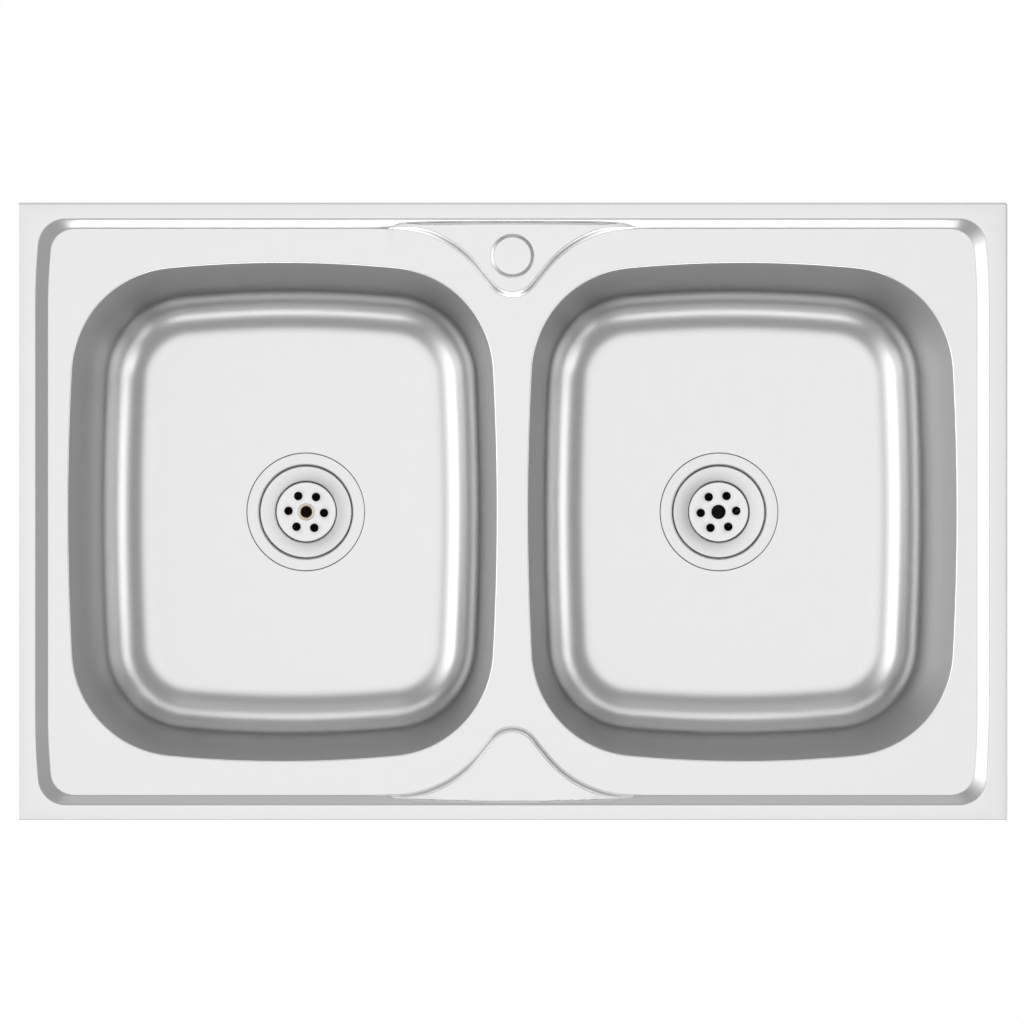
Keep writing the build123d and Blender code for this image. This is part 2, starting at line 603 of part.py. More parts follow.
def make_bracket():
    """Z-shaped steel bracket welded under the deck."""
    half = BRACKET_WIDTH / 2
    web_back = -BRACKET_BACK
    bracket = block(web_back, BRACKET_TOP_FRONT, -half, half, DECK_UNDER - BRACKET_THICK, DECK_UNDER)
    bracket += block(web_back, web_back + BRACKET_THICK, -half, half, FOOT_UNDER, DECK_UNDER)
    bracket += block(web_back, BRACKET_FOOT_FRONT, -half, half, FOOT_UNDER,
                     FOOT_UNDER + BRACKET_THICK)
    hole_r = CLIP_SCREW_R + SCREW_HOLE_GAP
    return bracket - drum(hole_r, FOOT_UNDER - 1, FOOT_UNDER + BRACKET_THICK + 1)


def make_weld_nut():
    """Hexagon nut under the bracket's lower flange."""
    outline = Pos(0, 0, WELD_NUT_UNDER) * RegularPolygon(WELD_NUT_FLAT_R, 6, major_radius=False)
    nut = extrude(outline, WELD_NUT_HEIGHT)
    return nut - drum(CLIP_SCREW_R + THREAD_GAP, WELD_NUT_UNDER - 1, FOOT_UNDER + 1)


def make_clip_screw():
    """Screw driven from below with a hexagon key."""
    low = CLIP_HEAD_TOP - CLIP_HEAD_HEIGHT
    screw = drum(CLIP_SCREW_R, CLIP_HEAD_TOP, CLIP_SCREW_TIP) + drum(CLIP_HEAD_R, low, CLIP_HEAD_TOP)
    return screw - Pos(0, 0, low) * socket_cut(CLIP_SOCKET_R, CLIP_SOCKET_DEPTH)


def make_clip_collar():
    """Shouldered bush on the screw, on which the jaw swivels."""
    jaw_top_play = JAW_TOP + COLLAR_PLAY
    collar = drum(COLLAR_FLANGE_R, COLLAR_UNDER, COLLAR_UNDER + COLLAR_FLANGE_THICK)
    collar += drum(COLLAR_R, COLLAR_UNDER, jaw_top_play)
    top = jaw_top_play + COLLAR_FLANGE_THICK
    collar += drum(COLLAR_FLANGE_R, jaw_top_play, top)
    return collar - drum(CLIP_SCREW_R + COLLAR_SCREW_GAP, COLLAR_UNDER - 1, top + 1)


def make_clip_jaw():
    """Steel jaw with an upturned, notched tip, folded in along the sink's edge (own -Y)."""
    half = JAW_WIDTH / 2
    jaw = drum(half, JAW_UNDER, JAW_TOP)
    jaw += block(-half, half, -JAW_LENGTH, 0, JAW_UNDER, JAW_TOP)
    tooth_top = -CLIP_REST_DEPTH
    jaw += block(-half, half, -JAW_LENGTH, JAW_TOOTH_THICK - JAW_LENGTH, JAW_UNDER, tooth_top)
    pitch = JAW_WIDTH / JAW_TOOTH_COUNT
    notch = Rot(0, 45, 0) * Box(JAW_TOOTH_NOTCH, 4 * JAW_TOOTH_THICK, JAW_TOOTH_NOTCH)
    for i in range(JAW_TOOTH_COUNT - 1):
        jaw -= Pos(-half + (i + 1) * pitch, -JAW_LENGTH, tooth_top) * notch
    return jaw - drum(COLLAR_R + JAW_BORE_GAP, JAW_UNDER - 1, JAW_TOP + 1)


# ------------------------------------------------------------------ the whole sink
def build_nodes():
    """Every sub-part by name, each in its place at rest."""
    nodes = {"deck": make_deck(), "tap_hole_blank": make_tap_blank(), "rim_seal": make_rim_seal()}
    for side in SIDES:
        place = drain_place(side)
        nodes[f"{side}_bowl"] = make_bowl(side)
        nodes[f"{side}_bowl_floor"] = make_bowl_floor(side)
        nodes[f"{side}_sound_pad"] = make_sound_pad(side)
        nodes[f"{side}_waste_cup"] = place * make_waste_cup()
        nodes[f"{side}_strainer"] = place * make_strainer(side)
        nodes[f"{side}_cup_gasket"] = place * make_cup_gasket()
        nodes[f"{side}_clamp_gasket"] = place * make_clamp_gasket()
        nodes[f"{side}_waste_body"] = place * make_waste_body()
        nodes[f"{side}_waste_outlet"] = place * make_waste_outlet()
        nodes[f"{side}_waste_spider"] = place * make_waste_spider()
        nodes[f"{side}_thread_insert"] = place * make_insert()
        nodes[f"{side}_clamp_screw"] = place * make_clamp_screw()
    nodes["left_strainer_eyelet"] = drain_place("left") * make_eyelet()
    bracket = make_bracket()
    weld_nut = make_weld_nut()
    nodes["clip_brackets"] = Compound([clip_place(name) * bracket for name in CLIPS])
    nodes["clip_weld_nuts"] = Compound([clip_place(name) * weld_nut for name in CLIPS])
    for name in CLIPS:
        place = clip_place(name)
        nodes[f"{name}_clip_screw"] = place * make_clip_screw()
        nodes[f"{name}_clip_collar"] = place * make_clip_collar()
        nodes[f"{name}_clip_jaw"] = place * make_clip_jaw()
    return nodes


os.makedirs("parts", exist_ok=True)
for node_name, shape in build_nodes().items():
    export_step(shape, f"parts/{node_name}.step")
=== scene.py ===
"""Looks of the double bowl kitchen sink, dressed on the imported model.

The shapes are in millimetres and become metres when a piece is made. Same frame as the model:
the origin is the middle of the sink on the worktop's surface, +Y is the tap ledge, +Z is up.
"""
import math

import bmesh
import bpy
import numpy as np
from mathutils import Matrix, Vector
from mathutils.geometry import delaunay_2d_cdt

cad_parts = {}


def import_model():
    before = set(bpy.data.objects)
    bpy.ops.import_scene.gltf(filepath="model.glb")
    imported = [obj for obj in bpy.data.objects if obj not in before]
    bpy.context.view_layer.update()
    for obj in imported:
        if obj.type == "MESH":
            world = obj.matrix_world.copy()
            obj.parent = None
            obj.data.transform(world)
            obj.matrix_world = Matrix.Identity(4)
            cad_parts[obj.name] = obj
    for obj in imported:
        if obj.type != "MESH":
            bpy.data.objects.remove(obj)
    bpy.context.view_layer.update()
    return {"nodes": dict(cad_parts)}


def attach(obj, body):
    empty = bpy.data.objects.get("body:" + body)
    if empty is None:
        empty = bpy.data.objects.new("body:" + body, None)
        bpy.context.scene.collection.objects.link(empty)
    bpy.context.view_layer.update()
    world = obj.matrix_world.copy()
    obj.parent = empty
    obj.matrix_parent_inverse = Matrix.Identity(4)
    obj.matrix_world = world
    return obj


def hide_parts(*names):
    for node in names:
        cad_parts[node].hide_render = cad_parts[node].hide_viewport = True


MM = 0.001
ROUND_POINTS = 96  # points round a turned surface
PLAN_NEAR, SLIVER = 1e-4, 1e-7  # points that become one in plan, area of a lost triangle
WELD = 0.002  # how near points of two patches lie where they are joined
SAME_POINT = 1e-6  # metres, in the model's meshes
FLAT = math.radians(0.5)  # faces that turn by less become one
ON_SHAFT = 2e-5  # metres
COLLAPSED = 2e-6  # metres: shorter edges are taken out, with the faces they flatten
BEVEL_FROM = math.radians(50)  # edges sharper than this get a small rounding
STRAY = 1.6  # sheet thicknesses beyond which a point under the sheet has strayed

# ---- sizes of the sheet metal
HALF_LENGTH = 400.0
HALF_WIDTH = 250.0
SINK_CORNER_R = 2.0
SHEET = 0.8
RIM_TOP = 4.0
DECK_TOP = -1.0
FLOOR_TOP = -150.2
EDGE_ROLL_R = 1.8  # round from the rim down into the turned edge
EDGE_ROLL_STEP = 15  # degrees between the points of that round
RIM_RUN, RIM_TURN = 25.0, math.radians(11)  # spacing of points along the rim's edge

STEP_FOOT_X = 375.4
STEP_FOOT_Y = 229.2
STEP_SIDE = 9.9
STEP_END = 7.4
RECESS_CORNER_R = 21.5
RECESS_FOOT_R = 20.0
RECESS_SWEEP_R = 500.0
RECESS_SWEEP = math.radians(5.4)
RECESS_RUN, RECESS_TURN = 12.0, math.radians(4)  # spacing of points along the recess
STEP_SOFT = 0.9  # half the width of the rounding along each crease of the step
CREASE_STEPS = (-1.3, -1.0, -0.6, -0.2, 0.2, 0.6, 1.0)  # points over a rounding, in half-widths

ISLAND_REACH = 55.1
ISLAND_NOSE_R = 22.5
ISLAND_FLANK_R = 87.4
ISLAND_FLANK = math.radians(51.0)
ISLAND_EDGE = 3.4
ISLAND_SOFT = 0.8
ISLAND_OUT = 0.3  # how far the foot of its edge lies outside its outline
# Per island: where its top ends, the slope into the groove, how far its back bends to the tips.
ISLAND_BACK = {1: (232.4, 1.0, 1.2), -1: (233.1, 2.5, 2.8)}
ISLAND_TIP_RUN = 42.0  # length over which an island's tip sinks into the step
ISLAND_TIP_FALL = 3.8
ISLAND_RUN, ISLAND_TURN = 2.0, math.radians(4)  # spacing of points along its front edge
ISLAND_ROWS = 0.3  # between the rows of points over its back and the groove
ISLAND_COLUMNS = 180  # intervals in such a row
ISLAND_ROW_LAP = 8.0  # how far a row runs past the tips
GROOVE_SOFT = 0.35  # rounding where two slopes of the deck meet

TAP_Y = 206.8
TAP_HOLE_R = 17.5
TAP_BLANK_RISE = 1.0
TAP_BLANK_EDGE = 2.6
TAP_SCORE = 0.3  # depth and width of the scored line round the blank

BOWL_X = 186.0
BOWL_HALF_X = 173.4
BOWL_HALF_Y = 201.5
BOWL_SIDE_R = 2150.0
BOWL_END_R = 965.0
BOWL_CORNER_R = 87.0
BOWL_DRAFT = math.radians(7.4)
BOWL_FLOOR_R = 40.0
MOUTH_ROLL_R = 1.1
MOUTH_WALL = 1.0  # strip of wall below the mouth's roll that belongs to the deck
MOUTH_STEPS = 7
BOWL_WALL_STEPS = (0, 0.01, 0.1, 0.25, 0.4, 0.55, 0.7, 0.85, 0.97)
BOWL_FOLD_STEPS = 14
BOWL_FLOOR_LAP = 1.5  # ring of flat floor at the fold, and round the seat

DRAIN_X = 176.0
SEAT_R = 50.4
SEAT_DEPTH = 2.4
SEAT_SOFT = 0.35
SEAT_FILLET = 0.5
WASTE_HOLE_R = 42.5

# ---- sizes of the wastes
FLANGE_R = 50.0
CUP_MOUTH_R = 40.4
CUP_LIP_DROP = 3.1
LIP_FOOT_R = 39.2
LEDGE_R = 36.8
LEDGE_Z = -3.502
CUP_WALL_FOOT_R = 35.2
CUP_DEPTH = 33.0
CUP_BOTTOM_BEVEL = 4.0
CUP_HOLE_R = 5.5
CUP_HOLE_COUNT = 8
CUP_HOLE_CIRCLE_R = 21.0
CLAMP_SCREW_HOLE_R = 3.3
CUP_PLATE_LAP = 2.5  # flat ring between the cup's bottom bevel and its punched plate
STRAINER_SHEET = 0.7
STRAINER_R = 38.6
STRAINER_RIM = -2.187  # levels of the strainer below the bowl floor
STRAINER_CONE = -4.217
STRAINER_PLATE = -7.217
STRAINER_PLATE_R = 25.269
STRAINER_STEP_RUN = 1.2
STRAINER_PLATE_LAP = 1.5
STRAINER_HOLE_R = 3.65
STRAINER_HOLE_COUNT = 6
STRAINER_HOLE_CIRCLE_R = 15.2
STRAINER_CENTRE_R = 6.1
STRAINER_TURN = 3.3  # degrees, mirrored between the two
PUNCHED_EDGE = 0.12  # rounding of the edges of punched plates
CENTRE_HOLE_POINTS, HOLE_POINTS = 48, 40
EYELET_FLANGE_R = 7.25
EYELET_BORE_R = 4.65
EYELET_THICK = 0.5
EYELET_LENGTH = 2.6
EYELET_POINTS = 64
OUTLET_R = 23.9  # over the crests of the thread
OUTLET_BORE_R = 19.5
OUTLET_TOP = -51.0  # levels below the bowl floor
OUTLET_END = -73.0
OUTLET_PITCH = 2.309
OUTLET_RIDGE = 0.85  # radius of the rounded ridge of the thread
OUTLET_ROUND_POINTS = 64
THREAD_ROOT = 1.7  # depth of a thread's root below its crest, in radii of its ridge

# ---- sizes of the worktop clips
CLIPS = {"front_left": (-200.0, -225.6), "front_right": (200.0, -225.6),
         "back_left": (-200.0, 225.6), "back_right": (200.0, 225.6),
         "left_front": (-371.8, -100.0), "left_back": (-371.8, 100.0),
         "right_front": (371.8, -100.0), "right_back": (371.8, 100.0)}
SCREW_R = 3.0
SCREW_PITCH = 1.0
SCREW_RIDGE = 0.3
SCREW_ROUND_POINTS = 20
SCREW_RUNOUT = 1.5  # how far the thinner shaft goes on past its thread
CLIP_THREAD_START = -57.2  # levels of the thread between the head and the tip
CLIP_THREAD_END = -25.6
CLAMP_THREAD_START = -48.4  # below the bowl floor
CLAMP_THREAD_END = -33.6

# ---- small rounded edges
ROUNDED = {"waste_body": 0.5, "waste_spider": 0.3, "cup_gasket": 0.3, "clamp_gasket": 0.3,
           "sound_pad": 0.8, "clip_brackets": 0.4, "clip_weld_nuts": 0.4, "clip_screw": 0.2,
           "clamp_screw": 0.2, "clip_collar": 0.2, "clip_jaw": 0.35}

# ---- surfaces
MATTE_SPREAD = 0.06  # how much the roughness of rubber, foam and plastic varies
SHADE_PAINT_COLOR = (0.05, 0.05, 0.05)  # painted shade: the dark colour a waste takes where its shade is painted in
DULL_ROUGHNESS = 0.6
# Bands of painted shade on a waste: start and end level against the bowl floor, share of the
# steel's own colour and gloss at each; where the share is low the steel is painted dark and made
# rough.
# Painted shade in the cup from 4 to 6 mm below the bowl floor downwards, and on the middle of the
# strainer's step, so its inner ring and the holes read dark.
CUP_SHADE_BANDS = ((-6.0, -4.0, 0.0, 1.0),)
STRAINER_SHADE_BANDS = ((-5.1, -4.4, 0.2, 1.0), (-7.1, -6.5, 1.0, 0.2))

# ---- studio
OVERHEAD = 1.08  # level of the light straight above
OVERHEAD_EDGE = (20.0, 29.0)  # degrees from the zenith over which it ends
DIM = 0.33  # level between the overhead light and the horizon
HORIZON = 2.0  # how much the horizon is brighter than that
HORIZON_EDGE = (69.0, 92.0)
# Side lights: level, angle from the zenith, bearing, degrees of even light, degrees of falloff
SIDE_LIGHTS = ((1.8, 67.0, 180.0, 5.0, 43.0), (2.8, 94.0, 270.0, 18.0, 24.0),
               (1.6, 70.0, -16.0, 5.0, 15.0), (0.2, 58.0, 90.0, 8.0, 14.0))
FLOOR_LEVEL = -0.2234  # metres, under the outlets
FLOOR_HALF = 9.0  # metres
WHITE_SHARE = 0.985  # how much of the floor shows plain white, clear of the object
SHADOW_INSET = 120.0  # where the shadow under the sink starts to fade, inside its edge
SHADOW_REACH = 30.0  # how far outside its edge it has faded
CAMERA_HEIGHT = 2800.0  # above the rim
PIXELS_PER_MM = 1.2388  # at the rim
PICTURE = 1024  # pixels along the picture
CAMERA_SHIFT = (-0.4, -0.1)  # pixels from the middle of the sink
SENSOR = 36.0  # millimetres

SIDES = {"left": -1, "right": 1}


# ---- outlines in plan
def arc(x, y, radius, start, turn):
    """Arc of an outline: centre, radius, start angle and turn; a negative turn bulges inwards."""
    return ("arc", x, y, radius, start, turn)


def line(x, y, to_x, to_y):
    return ("line", x, y, to_x, to_y)


def trace(outline, grow=0.0, run=6.0, turn=math.radians(2.5)):
    """Points along an outline, moved outwards by grow; their number doesn't depend on grow."""
    points = []
    for piece in outline:
        if piece[0] == "line":
            x, y, to_x, to_y = piece[1:]
            length = math.hypot(to_x - x, to_y - y)
            out_x, out_y = (to_y - y) / length, (x - to_x) / length
            count = max(1, round(length / run))
            for i in range(count):
                t = i / count
                points.append((x + (to_x - x) * t + out_x * grow,
                               y + (to_y - y) * t + out_y * grow))
        else:
            x, y, radius, start, sweep = piece[1:]
            count = max(2, math.ceil(abs(sweep) / turn), math.ceil(abs(sweep) * radius / run))
            reach = radius + grow * math.copysign(1.0, sweep)
            for i in range(count):
                angle = start + sweep * i / count
                points.append((x + reach * math.cos(angle), y + reach * math.sin(angle)))
    return points


def circle(x, y, radius, count=ROUND_POINTS, turn=0.0):
    """Points round a circle, the first one turned off the X axis."""
    return [(x + radius * math.cos(turn + 2 * math.pi * i / count),
             y + radius * math.sin(turn + 2 * math.pi * i / count)) for i in range(count)]


def twice_round(pieces):
    """Outline of some pieces followed by the same ones turned by half a turn."""
    return pieces + [line(*(-v for v in piece[1:])) if piece[0] == "line" else
                     arc(-piece[1], -piece[2], piece[3], piece[4] + math.pi, piece[5])
                     for piece in pieces]


def rim_outline():
    """Outer edge of the sink."""
    x, y, r = HALF_LENGTH - SINK_CORNER_R, HALF_WIDTH - SINK_CORNER_R, SINK_CORNER_R
    quarter = math.pi / 2
    return twice_round([
        line(HALF_LENGTH, -y, HALF_LENGTH, y), arc(x, y, r, 0, quarter),
        line(x, HALF_WIDTH, -x, HALF_WIDTH), arc(-x, y, r, quarter, quarter)])


def recess_corner(half_x, half_y, corner_r):
    """Where a side's sweep and its corner arc have their centres."""
    reach = RECESS_SWEEP_R - corner_r
    sweep_x = half_x - RECESS_SWEEP_R
    sweep_y = half_y - corner_r - reach * math.sin(RECESS_SWEEP)
    return sweep_x, sweep_y, sweep_x + reach * math.cos(RECESS_SWEEP), half_y - corner_r


def recess_outline(half_x, half_y, corner_r):
    """Edge of the recess: straight sides, a gentle sweep into each corner, then the corner."""
    sweep_x, sweep_y, x, y = recess_corner(half_x, half_y, corner_r)
    turn, rest = RECESS_SWEEP, math.pi / 2 - RECESS_SWEEP
    return twice_round([
        line(half_x, -sweep_y, half_x, sweep_y),
        arc(sweep_x, sweep_y, RECESS_SWEEP_R, 0, turn), arc(x, y, corner_r, turn, rest),
        line(x, half_y, -x, half_y), arc(-x, y, corner_r, math.pi / 2, rest),
        arc(-sweep_x, sweep_y, RECESS_SWEEP_R, math.pi - turn, turn)])


def recess_outside(x, y, half_x, half_y, corner_r):
    """How far points lie outside the edge of the recess."""
    x, y = np.abs(x), np.abs(y)
    sweep_x, sweep_y, corner_x, corner_y = recess_corner(half_x, half_y, corner_r)
    on_sweep = np.arctan2(y - sweep_y, x - sweep_x) <= RECESS_SWEEP
    return np.where(
        y <= sweep_y, x - half_x,
        np.where(on_sweep, np.hypot(x - sweep_x, y - sweep_y) - RECESS_SWEEP_R,
                 np.where(x >= corner_x, np.hypot(x - corner_x, y - corner_y) - corner_r,
                          y - half_y)))


def barrel_centres():
    """Centres of the side, end and corner arcs of a bowl's mouth, and where they meet."""
    side_x = BOWL_HALF_X - BOWL_SIDE_R
    end_y = BOWL_HALF_Y - BOWL_END_R
    side_reach = BOWL_SIDE_R - BOWL_CORNER_R
    end_reach = BOWL_END_R - BOWL_CORNER_R
    apart = math.hypot(side_x, end_y)
    along = (side_reach ** 2 - end_reach ** 2 + apart ** 2) / (2 * apart)
    across = math.sqrt(side_reach ** 2 - along ** 2)
    corner_x = side_x - along * side_x / apart - across * end_y / apart
    corner_y = along * end_y / apart - across * side_x / apart
    side_turn = math.atan2(corner_y, corner_x - side_x)
    end_turn = math.atan2(corner_y - end_y, corner_x)
    return side_x, end_y, corner_x, corner_y, side_turn, end_turn


def barrel_outline():
    """Mouth of a bowl round the origin, eight tangent arcs."""
    side_x, end_y, x, y, side_turn, end_turn = barrel_centres()
    corner = end_turn - side_turn
    return twice_round([
        arc(side_x, 0, BOWL_SIDE_R, -side_turn, 2 * side_turn),
        arc(x, y, BOWL_CORNER_R, side_turn, corner),
        arc(0, end_y, BOWL_END_R, end_turn, math.pi - 2 * end_turn),
        arc(-x, y, BOWL_CORNER_R, math.pi - end_turn, corner)])


def barrel_outside(x, y):
    """How far points lie outside a bowl's mouth, for a bowl round the origin."""
    x, y = np.abs(x), np.abs(y)
    side_x, end_y, corner_x, corner_y, side_turn, end_turn = barrel_centres()
    by_side = np.arctan2(y, x - side_x) <= side_turn
    by_end = np.arctan2(y - end_y, x) >= end_turn
    return np.where(
        by_side, np.hypot(x - side_x, y) - BOWL_SIDE_R,
        np.where(by_end, np.hypot(x, y - end_y) - BOWL_END_R,
                 np.hypot(x - corner_x, y - corner_y) - BOWL_CORNER_R))


def island_places():
    """Length of a flank's straight part, centre of its arc, and the nose's centre in y."""
    drop = 1 - math.cos(ISLAND_FLANK)
    straight = (ISLAND_REACH - (ISLAND_NOSE_R + ISLAND_FLANK_R) * drop) / math.sin(ISLAND_FLANK)
    flank_x = ((ISLAND_NOSE_R + ISLAND_FLANK_R) * math.sin(ISLAND_FLANK)
               + straight * math.cos(ISLAND_FLANK))
    nose_y = STEP_FOOT_Y - ISLAND_REACH + ISLAND_NOSE_R
    return straight, flank_x, STEP_FOOT_Y - ISLAND_FLANK_R, nose_y


def island_outline():
    """Front edge of the rear island from its left tip round the nose to its right tip."""
    straight, flank_x, flank_y, nose_y = island_places()
    turn, quarter = ISLAND_FLANK, math.pi / 2
    nose_x, nose_foot = (ISLAND_NOSE_R * math.sin(turn), nose_y - ISLAND_NOSE_R * math.cos(turn))
    arm_x, arm_y = straight * math.cos(turn), straight * math.sin(turn)
    return [
        arc(-flank_x, flank_y, ISLAND_FLANK_R, quarter, -turn),
        line(-nose_x - arm_x, nose_foot + arm_y, -nose_x, nose_foot),
        arc(0, nose_y, ISLAND_NOSE_R, -quarter - turn, 2 * turn),
        line(nose_x, nose_foot, nose_x + arm_x, nose_foot + arm_y),
        arc(flank_x, flank_y, ISLAND_FLANK_R, quarter + turn, -turn),
    ]


def island_inside(x, y):
    """How far points lie inside the front edge of the rear island."""
    x = np.abs(x)
    _, flank_x, flank_y, nose_y = island_places()
    turn = ISLAND_FLANK
    by_nose = np.arctan2(y - nose_y, x) <= turn - math.pi / 2
    flank_angle = np.arctan2(y - flank_y, x - flank_x)
    by_flank = (flank_angle <= math.pi / 2 + turn) & (y > flank_y)
    foot_x, foot_y = ISLAND_NOSE_R * math.sin(turn), nose_y - ISLAND_NOSE_R * math.cos(turn)
    from_line = (y - foot_y) * math.cos(turn) - (x - foot_x) * math.sin(turn)
    inside = np.where(by_nose, ISLAND_NOSE_R - np.hypot(x, y - nose_y),
                      np.where(by_flank, np.hypot(x - flank_x, y - flank_y) - ISLAND_FLANK_R,
                               from_line))
    return np.where(x > flank_x, y - STEP_FOOT_Y, inside)


# ---- heights of the pressed deck
def eased(t, soft):
    """0 below 0 and 1 above 1, straight between, with a rounding of half-width soft at each end."""
    start = np.where(t < soft, (t + soft) ** 2 / (4 * soft), t)
    start = np.where(t < -soft, 0.0, start)
    end = np.where(t > 1 - soft, 1 - (1 + soft - t) ** 2 / (4 * soft), start)
    return np.where(t > 1 + soft, 1.0, end)


def eased_least(a, b, soft):
    """The lower of two heights, rounded where they meet."""
    near = np.maximum(soft - np.abs(a - b), 0) / soft
    return np.minimum(a, b) - near ** 2 * soft / 4


def step_height(x, y):
    """Rim, sloping step and recessed deck."""
    outer = recess_outside(x, y, STEP_FOOT_X + STEP_SIDE, STEP_FOOT_Y + STEP_END, RECESS_CORNER_R)
    inner = recess_outside(x, y, STEP_FOOT_X, STEP_FOOT_Y, RECESS_FOOT_R)
    width = np.maximum(inner - outer, 1.0)
    t = -outer / width
    return RIM_TOP + (DECK_TOP - RIM_TOP) * eased(t, STEP_SOFT / width)


def island_height(x, y, flip):
    """An island, whose back falls into the groove at the rim; flip -1 is the front one."""
    y = flip * y
    back_y, back_fall, bend = ISLAND_BACK[flip]
    tip_x = island_places()[1]
    rise = RIM_TOP - DECK_TOP
    across = (island_inside(x, y) + ISLAND_OUT) / ISLAND_EDGE
    front = DECK_TOP + rise * eased(across, ISLAND_SOFT / ISLAND_EDGE)
    back = RIM_TOP - back_fall * (y - back_y + bend * (x / tip_x) ** 2)
    sunk = np.clip(np.abs(x) - tip_x + ISLAND_TIP_RUN, 0.0, None) / ISLAND_TIP_RUN
    tip = RIM_TOP + GROOVE_SOFT - (ISLAND_TIP_FALL + GROOVE_SOFT) * sunk ** 2
    height = eased_least(front, back, GROOVE_SOFT)
    return eased_least(height, tip, GROOVE_SOFT)


def mouth_reach():
    """How far outside the mouth's outline the deck starts to roll down."""
    return MOUTH_ROLL_R * math.tan(math.pi / 4 - BOWL_DRAFT / 2)


def mouth_end():
    """Where the deck's strip of wall ends, against the mouth's outline."""
    return (mouth_reach() - MOUTH_ROLL_R * math.cos(BOWL_DRAFT)
            - MOUTH_WALL * math.tan(BOWL_DRAFT))


def mouth_drop(x, y):
    """How far the deck has rolled down at the nearer bowl's mouth."""
    outside = barrel_outside(np.abs(x) - BOWL_X, y)
    inward = np.clip(mouth_reach() - outside, 0.0, None)
    rolled = MOUTH_ROLL_R * math.cos(BOWL_DRAFT)
    left = np.maximum(MOUTH_ROLL_R ** 2 - np.minimum(inward, rolled) ** 2, 0)
    return MOUTH_ROLL_R - np.sqrt(left) + np.maximum(inward - rolled, 0) / math.tan(BOWL_DRAFT)


def edge_drop(x, y):
    """How far the rim has rolled down at the outer edge."""
    in_x, in_y = HALF_LENGTH - np.abs(x), HALF_WIDTH - np.abs(y)
    r = SINK_CORNER_R
    in_corner = (in_x < r) & (in_y < r)
    inside = np.where(in_corner, r - np.hypot(r - in_x, r - in_y), np.minimum(in_x, in_y))
    missing = np.clip(EDGE_ROLL_R - inside, 0.0, EDGE_ROLL_R)
    return EDGE_ROLL_R - np.sqrt(EDGE_ROLL_R ** 2 - missing ** 2)


def score_drop(x, y):
    """How far the island's top falls into the scored edge of the tap hole."""
    missing = np.clip(TAP_HOLE_R + TAP_SCORE - np.hypot(x, y - TAP_Y), 0.0, TAP_SCORE)
    return TAP_SCORE - np.sqrt(TAP_SCORE ** 2 - missing ** 2)


def deck_height(x, y):
    """Upper surface of the deck anywhere between its edge and the bowls' mouths."""
    height = step_height(x, y)
    for flip in (1, -1):
        near = flip * y > STEP_FOOT_Y - 2 * ISLAND_REACH
        island = -eased_least(-height, -island_height(x, y, flip), GROOVE_SOFT)
        height = np.where(near, island, height)
    return height - mouth_drop(x, y) - edge_drop(x, y) - score_drop(x, y)


# ---- making meshes and pieces
def plan_mesh(closed_loops, open_lines, stays):
    """Triangles in plan through all loops and lines; stays(x, y) says which ones are kept."""
    points, edges = [], []
    for loops, is_closed in ((closed_loops, True), (open_lines, False)):
        for loop in loops:
            first = len(points)
            points += [Vector(p) for p in loop]
            edges += [(first + i, first + i + 1) for i in range(len(loop) - 1)]
            if is_closed:
                edges.append((first + len(loop) - 1, first))
    flat, _, triangles, _, _, _ = delaunay_2d_cdt(points, edges, [], 0, PLAN_NEAR)
    flat = np.array([tuple(p) for p in flat])
    triangles = np.array(triangles)
    a, b, c = (flat[triangles[:, i]] for i in range(3))
    middle = (a + b + c) / 3
    area = np.cross(b - a, c - a)
    triangles[area < 0] = triangles[area < 0][:, ::-1]
    kept = stays(middle[:, 0], middle[:, 1]) & (np.abs(area) > SLIVER)
    return flat, triangles[kept]


def ring_faces(rings):
    """Patch between closed rings that have as many points each, the first ring outermost."""
    count = len(rings[0])
    vertices = [p for ring in rings for p in ring]
    faces = []
    for k in range(len(rings) - 1):
        for i in range(count):
            j = (i + 1) % count
            faces.append((k * count + i, k * count + j, (k + 1) * count + j, (k + 1) * count + i))
    return vertices, faces


def join_patches(patches):
    """One bmesh from patches of (vertices, faces) in millimetres, welded where they touch."""
    bm = bmesh.new()
    for vertices, faces in patches:
        made = [bm.verts.new(v) for v in vertices]
        for face in faces:
            bm.faces.new([made[i] for i in face])
    bmesh.ops.remove_doubles(bm, verts=bm.verts, dist=WELD)
    return bm


def placed(name, data):
    """New object of some data, in the scene."""
    made = bpy.data.objects.new(name, data)
    bpy.context.scene.collection.objects.link(made)
    return made


def plain_mesh(piece):
    """Mesh of an object with its modifiers carried out."""
    view = bpy.context.evaluated_depsgraph_get()
    return bpy.data.meshes.new_from_object(piece.evaluated_get(view))


def coat(mesh, material):
    mesh.materials.clear()
    mesh.materials.append(material)


def finish_mesh(name, bm, material, thick=0.0, bevel=0.0, sharp=40.0):
    """Object from a bmesh in millimetres: sheet thickness, bevels, metres, smooth shading."""
    bm.normal_update()
    mesh = bpy.data.meshes.new(name)
    bm.to_mesh(mesh)
    bm.free()
    mesh.transform(((MM, 0, 0, 0), (0, MM, 0, 0), (0, 0, MM, 0), (0, 0, 0, 1)))
    piece = placed(name, mesh)
    if thick:
        wall = piece.modifiers.new("sheet", "SOLIDIFY")
        wall.thickness = thick * MM
        wall.offset = -1.0
        wall.use_even_offset = True
    if bevel:
        edge = piece.modifiers.new("edges", "BEVEL")
        edge.width = bevel * MM
        edge.segments = 2
        edge.limit_method = "ANGLE"
        edge.angle_limit = BEVEL_FROM
    settled(piece, sharp)
    coat(piece.data, material)
    return piece


